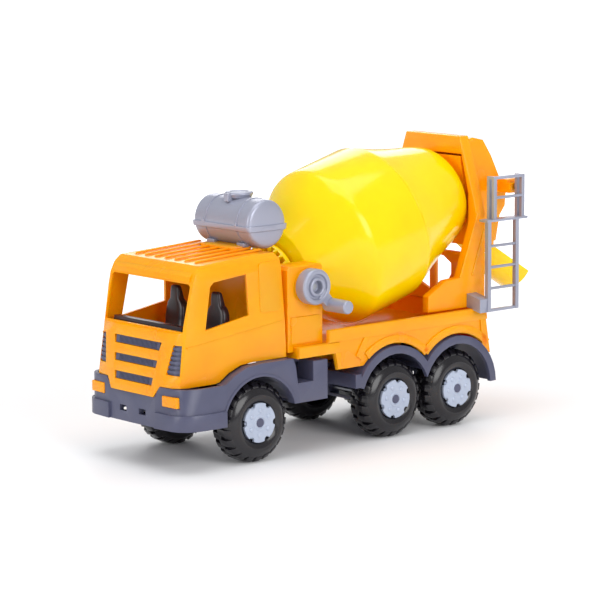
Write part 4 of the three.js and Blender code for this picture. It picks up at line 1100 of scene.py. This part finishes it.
with_copies(bm, "ring", tooth, Count=TEETH, Axis=DRUM_AXIS, Centre=Vector(drum_joint["pos_m"]),
            Phase=0.0, Material=YELLOW)
finish("crown_gear", bm, YELLOW, "drum", ["drum_gear"])
finish("pinion", from_frame("crank_pinion"), YELLOW, "crank",
       ["crank_pinion"], bevel=0.2)

# %% [markdown]
# ## Crank
# A silver wheel with a rolled rim, a sunken bore over its screw, a short arm and a round
# grip. Everything but the arm is turned. The arm is an outline with eased edges that fades
# into both.

# %% Crank wheel, arm and grip
FACE_BACK = 60.0
GRIP = Vector((-17.0, -17.0))
place = outward(CRANK_X, CRANK_Z)
f = FACE_BACK
wheel = [(0, f), (14.2, f), (15.4, f + 1), (15.4, f + 10.4), (14.4, f + 11.7), (12, f + 11.9),
         (11, f + 11.5), (10.6, f + 9.6), (8.6, f + 9.6), (8.0, f + 12.0), (6.3, f + 12.6),
         (5.3, f + 11.8), (5.3, f + 5.8), (0, f + 5.8)]
bm = turned(rounded(wheel, 0.6, 3, closed=False), 72, place)
direction = GRIP.normalized()
normal = Vector((-direction.y, direction.x))
centre = Vector((CRANK_X, CRANK_Z))
arm = [centre + direction * a + normal * b for a, b in
       ((8.5, 5.6), (GRIP.length, 4.3), (GRIP.length, -4.3), (8.5, -5.6))]
merge(bm, softened(prism(arm, "y", f + 5, f + 11), 0.8, 3))
grip = [(0, f + 4.4), (5.4, f + 4.4), (6, f + 5), (5.7, 90.8), (5.0, 92), (0, 92)]
turned(rounded(grip, 0.5, 3, closed=False), 40,
       outward(CRANK_X + GRIP.x, CRANK_Z + GRIP.y), bm=bm)
finish("crank_wheel_and_grip", bm, SILVER, "crank", ["crank_wheel"], sharp=40)

# %% [markdown]
# ## Rear support and hopper
# The orange portal behind the drum has legs with two slanted ribs on their outer faces. Behind
# it hangs the hopper, open at the top where the mix goes in, with a raised rim round that
# mouth. Both outlines come from the frame.

# %% Portal
LEG_FACE = 57.0
LEG_RIBS = (((-241.7, 132), (-264, 189)), ((-256.7, 132.7), (-271.6, 172.5)))  # foot, head
RIB_HALF = 1.1
RIB_HEIGHT = 1.0
bm = from_frame("rear_support")
for side in SIDES.values():
    for foot, head in LEG_RIBS:
        foot, head = Vector(foot), Vector(head)
        along_rib = (head - foot).normalized()
        half = Vector((-along_rib.y, along_rib.x)) * RIB_HALF
        rib = [foot + half, head + half, head - half, foot - half]
        prism(rib, "y", side * (LEG_FACE - 1), side * (LEG_FACE + RIB_HEIGHT), bm)
finish("portal", bm, ORANGE, "truck", ["rear_support"], bevel=0.9, steps=3)

# %% Hopper
bm = from_frame("hopper")
finish("hopper_shell", bm, ORANGE, "truck", ["hopper"], bevel=0.8, steps=3)
for node in ("ladder_pin", "chute_pin_left", "chute_pin_right"):
    body = "truck" if node == "ladder_pin" else "chute_body"
    finish(node + "_turned", from_frame(node), STEEL, body, [node], bevel=0.3)

# %% [markdown]
# ## Chute
# A yellow half pipe swings on two pins under the hopper. Its section is an arc with a wall, its
# foot is cut on the slant. Its shape comes from the frame, and a bevel softens its edges.

# %% Chute
bm = from_frame("chute")
finish("chute_half_pipe", bm, YELLOW, "chute_body", ["chute"], bevel=0.6,
       steps=3, sharp=30)

# %% [markdown]
# ## Ladder
# The silver ladder is one moulding: two rails, a ledge, a cage above it and thin rungs. The
# frame's outline carries it, with a tight bevel, because real moulded bars have small radii.

# %% Ladder
finish("ladder_moulding", from_frame("ladder"), SILVER, "truck", ["ladder"],
       bevel=0.5, steps=2)
print(len(PIECES), "pieces in all")
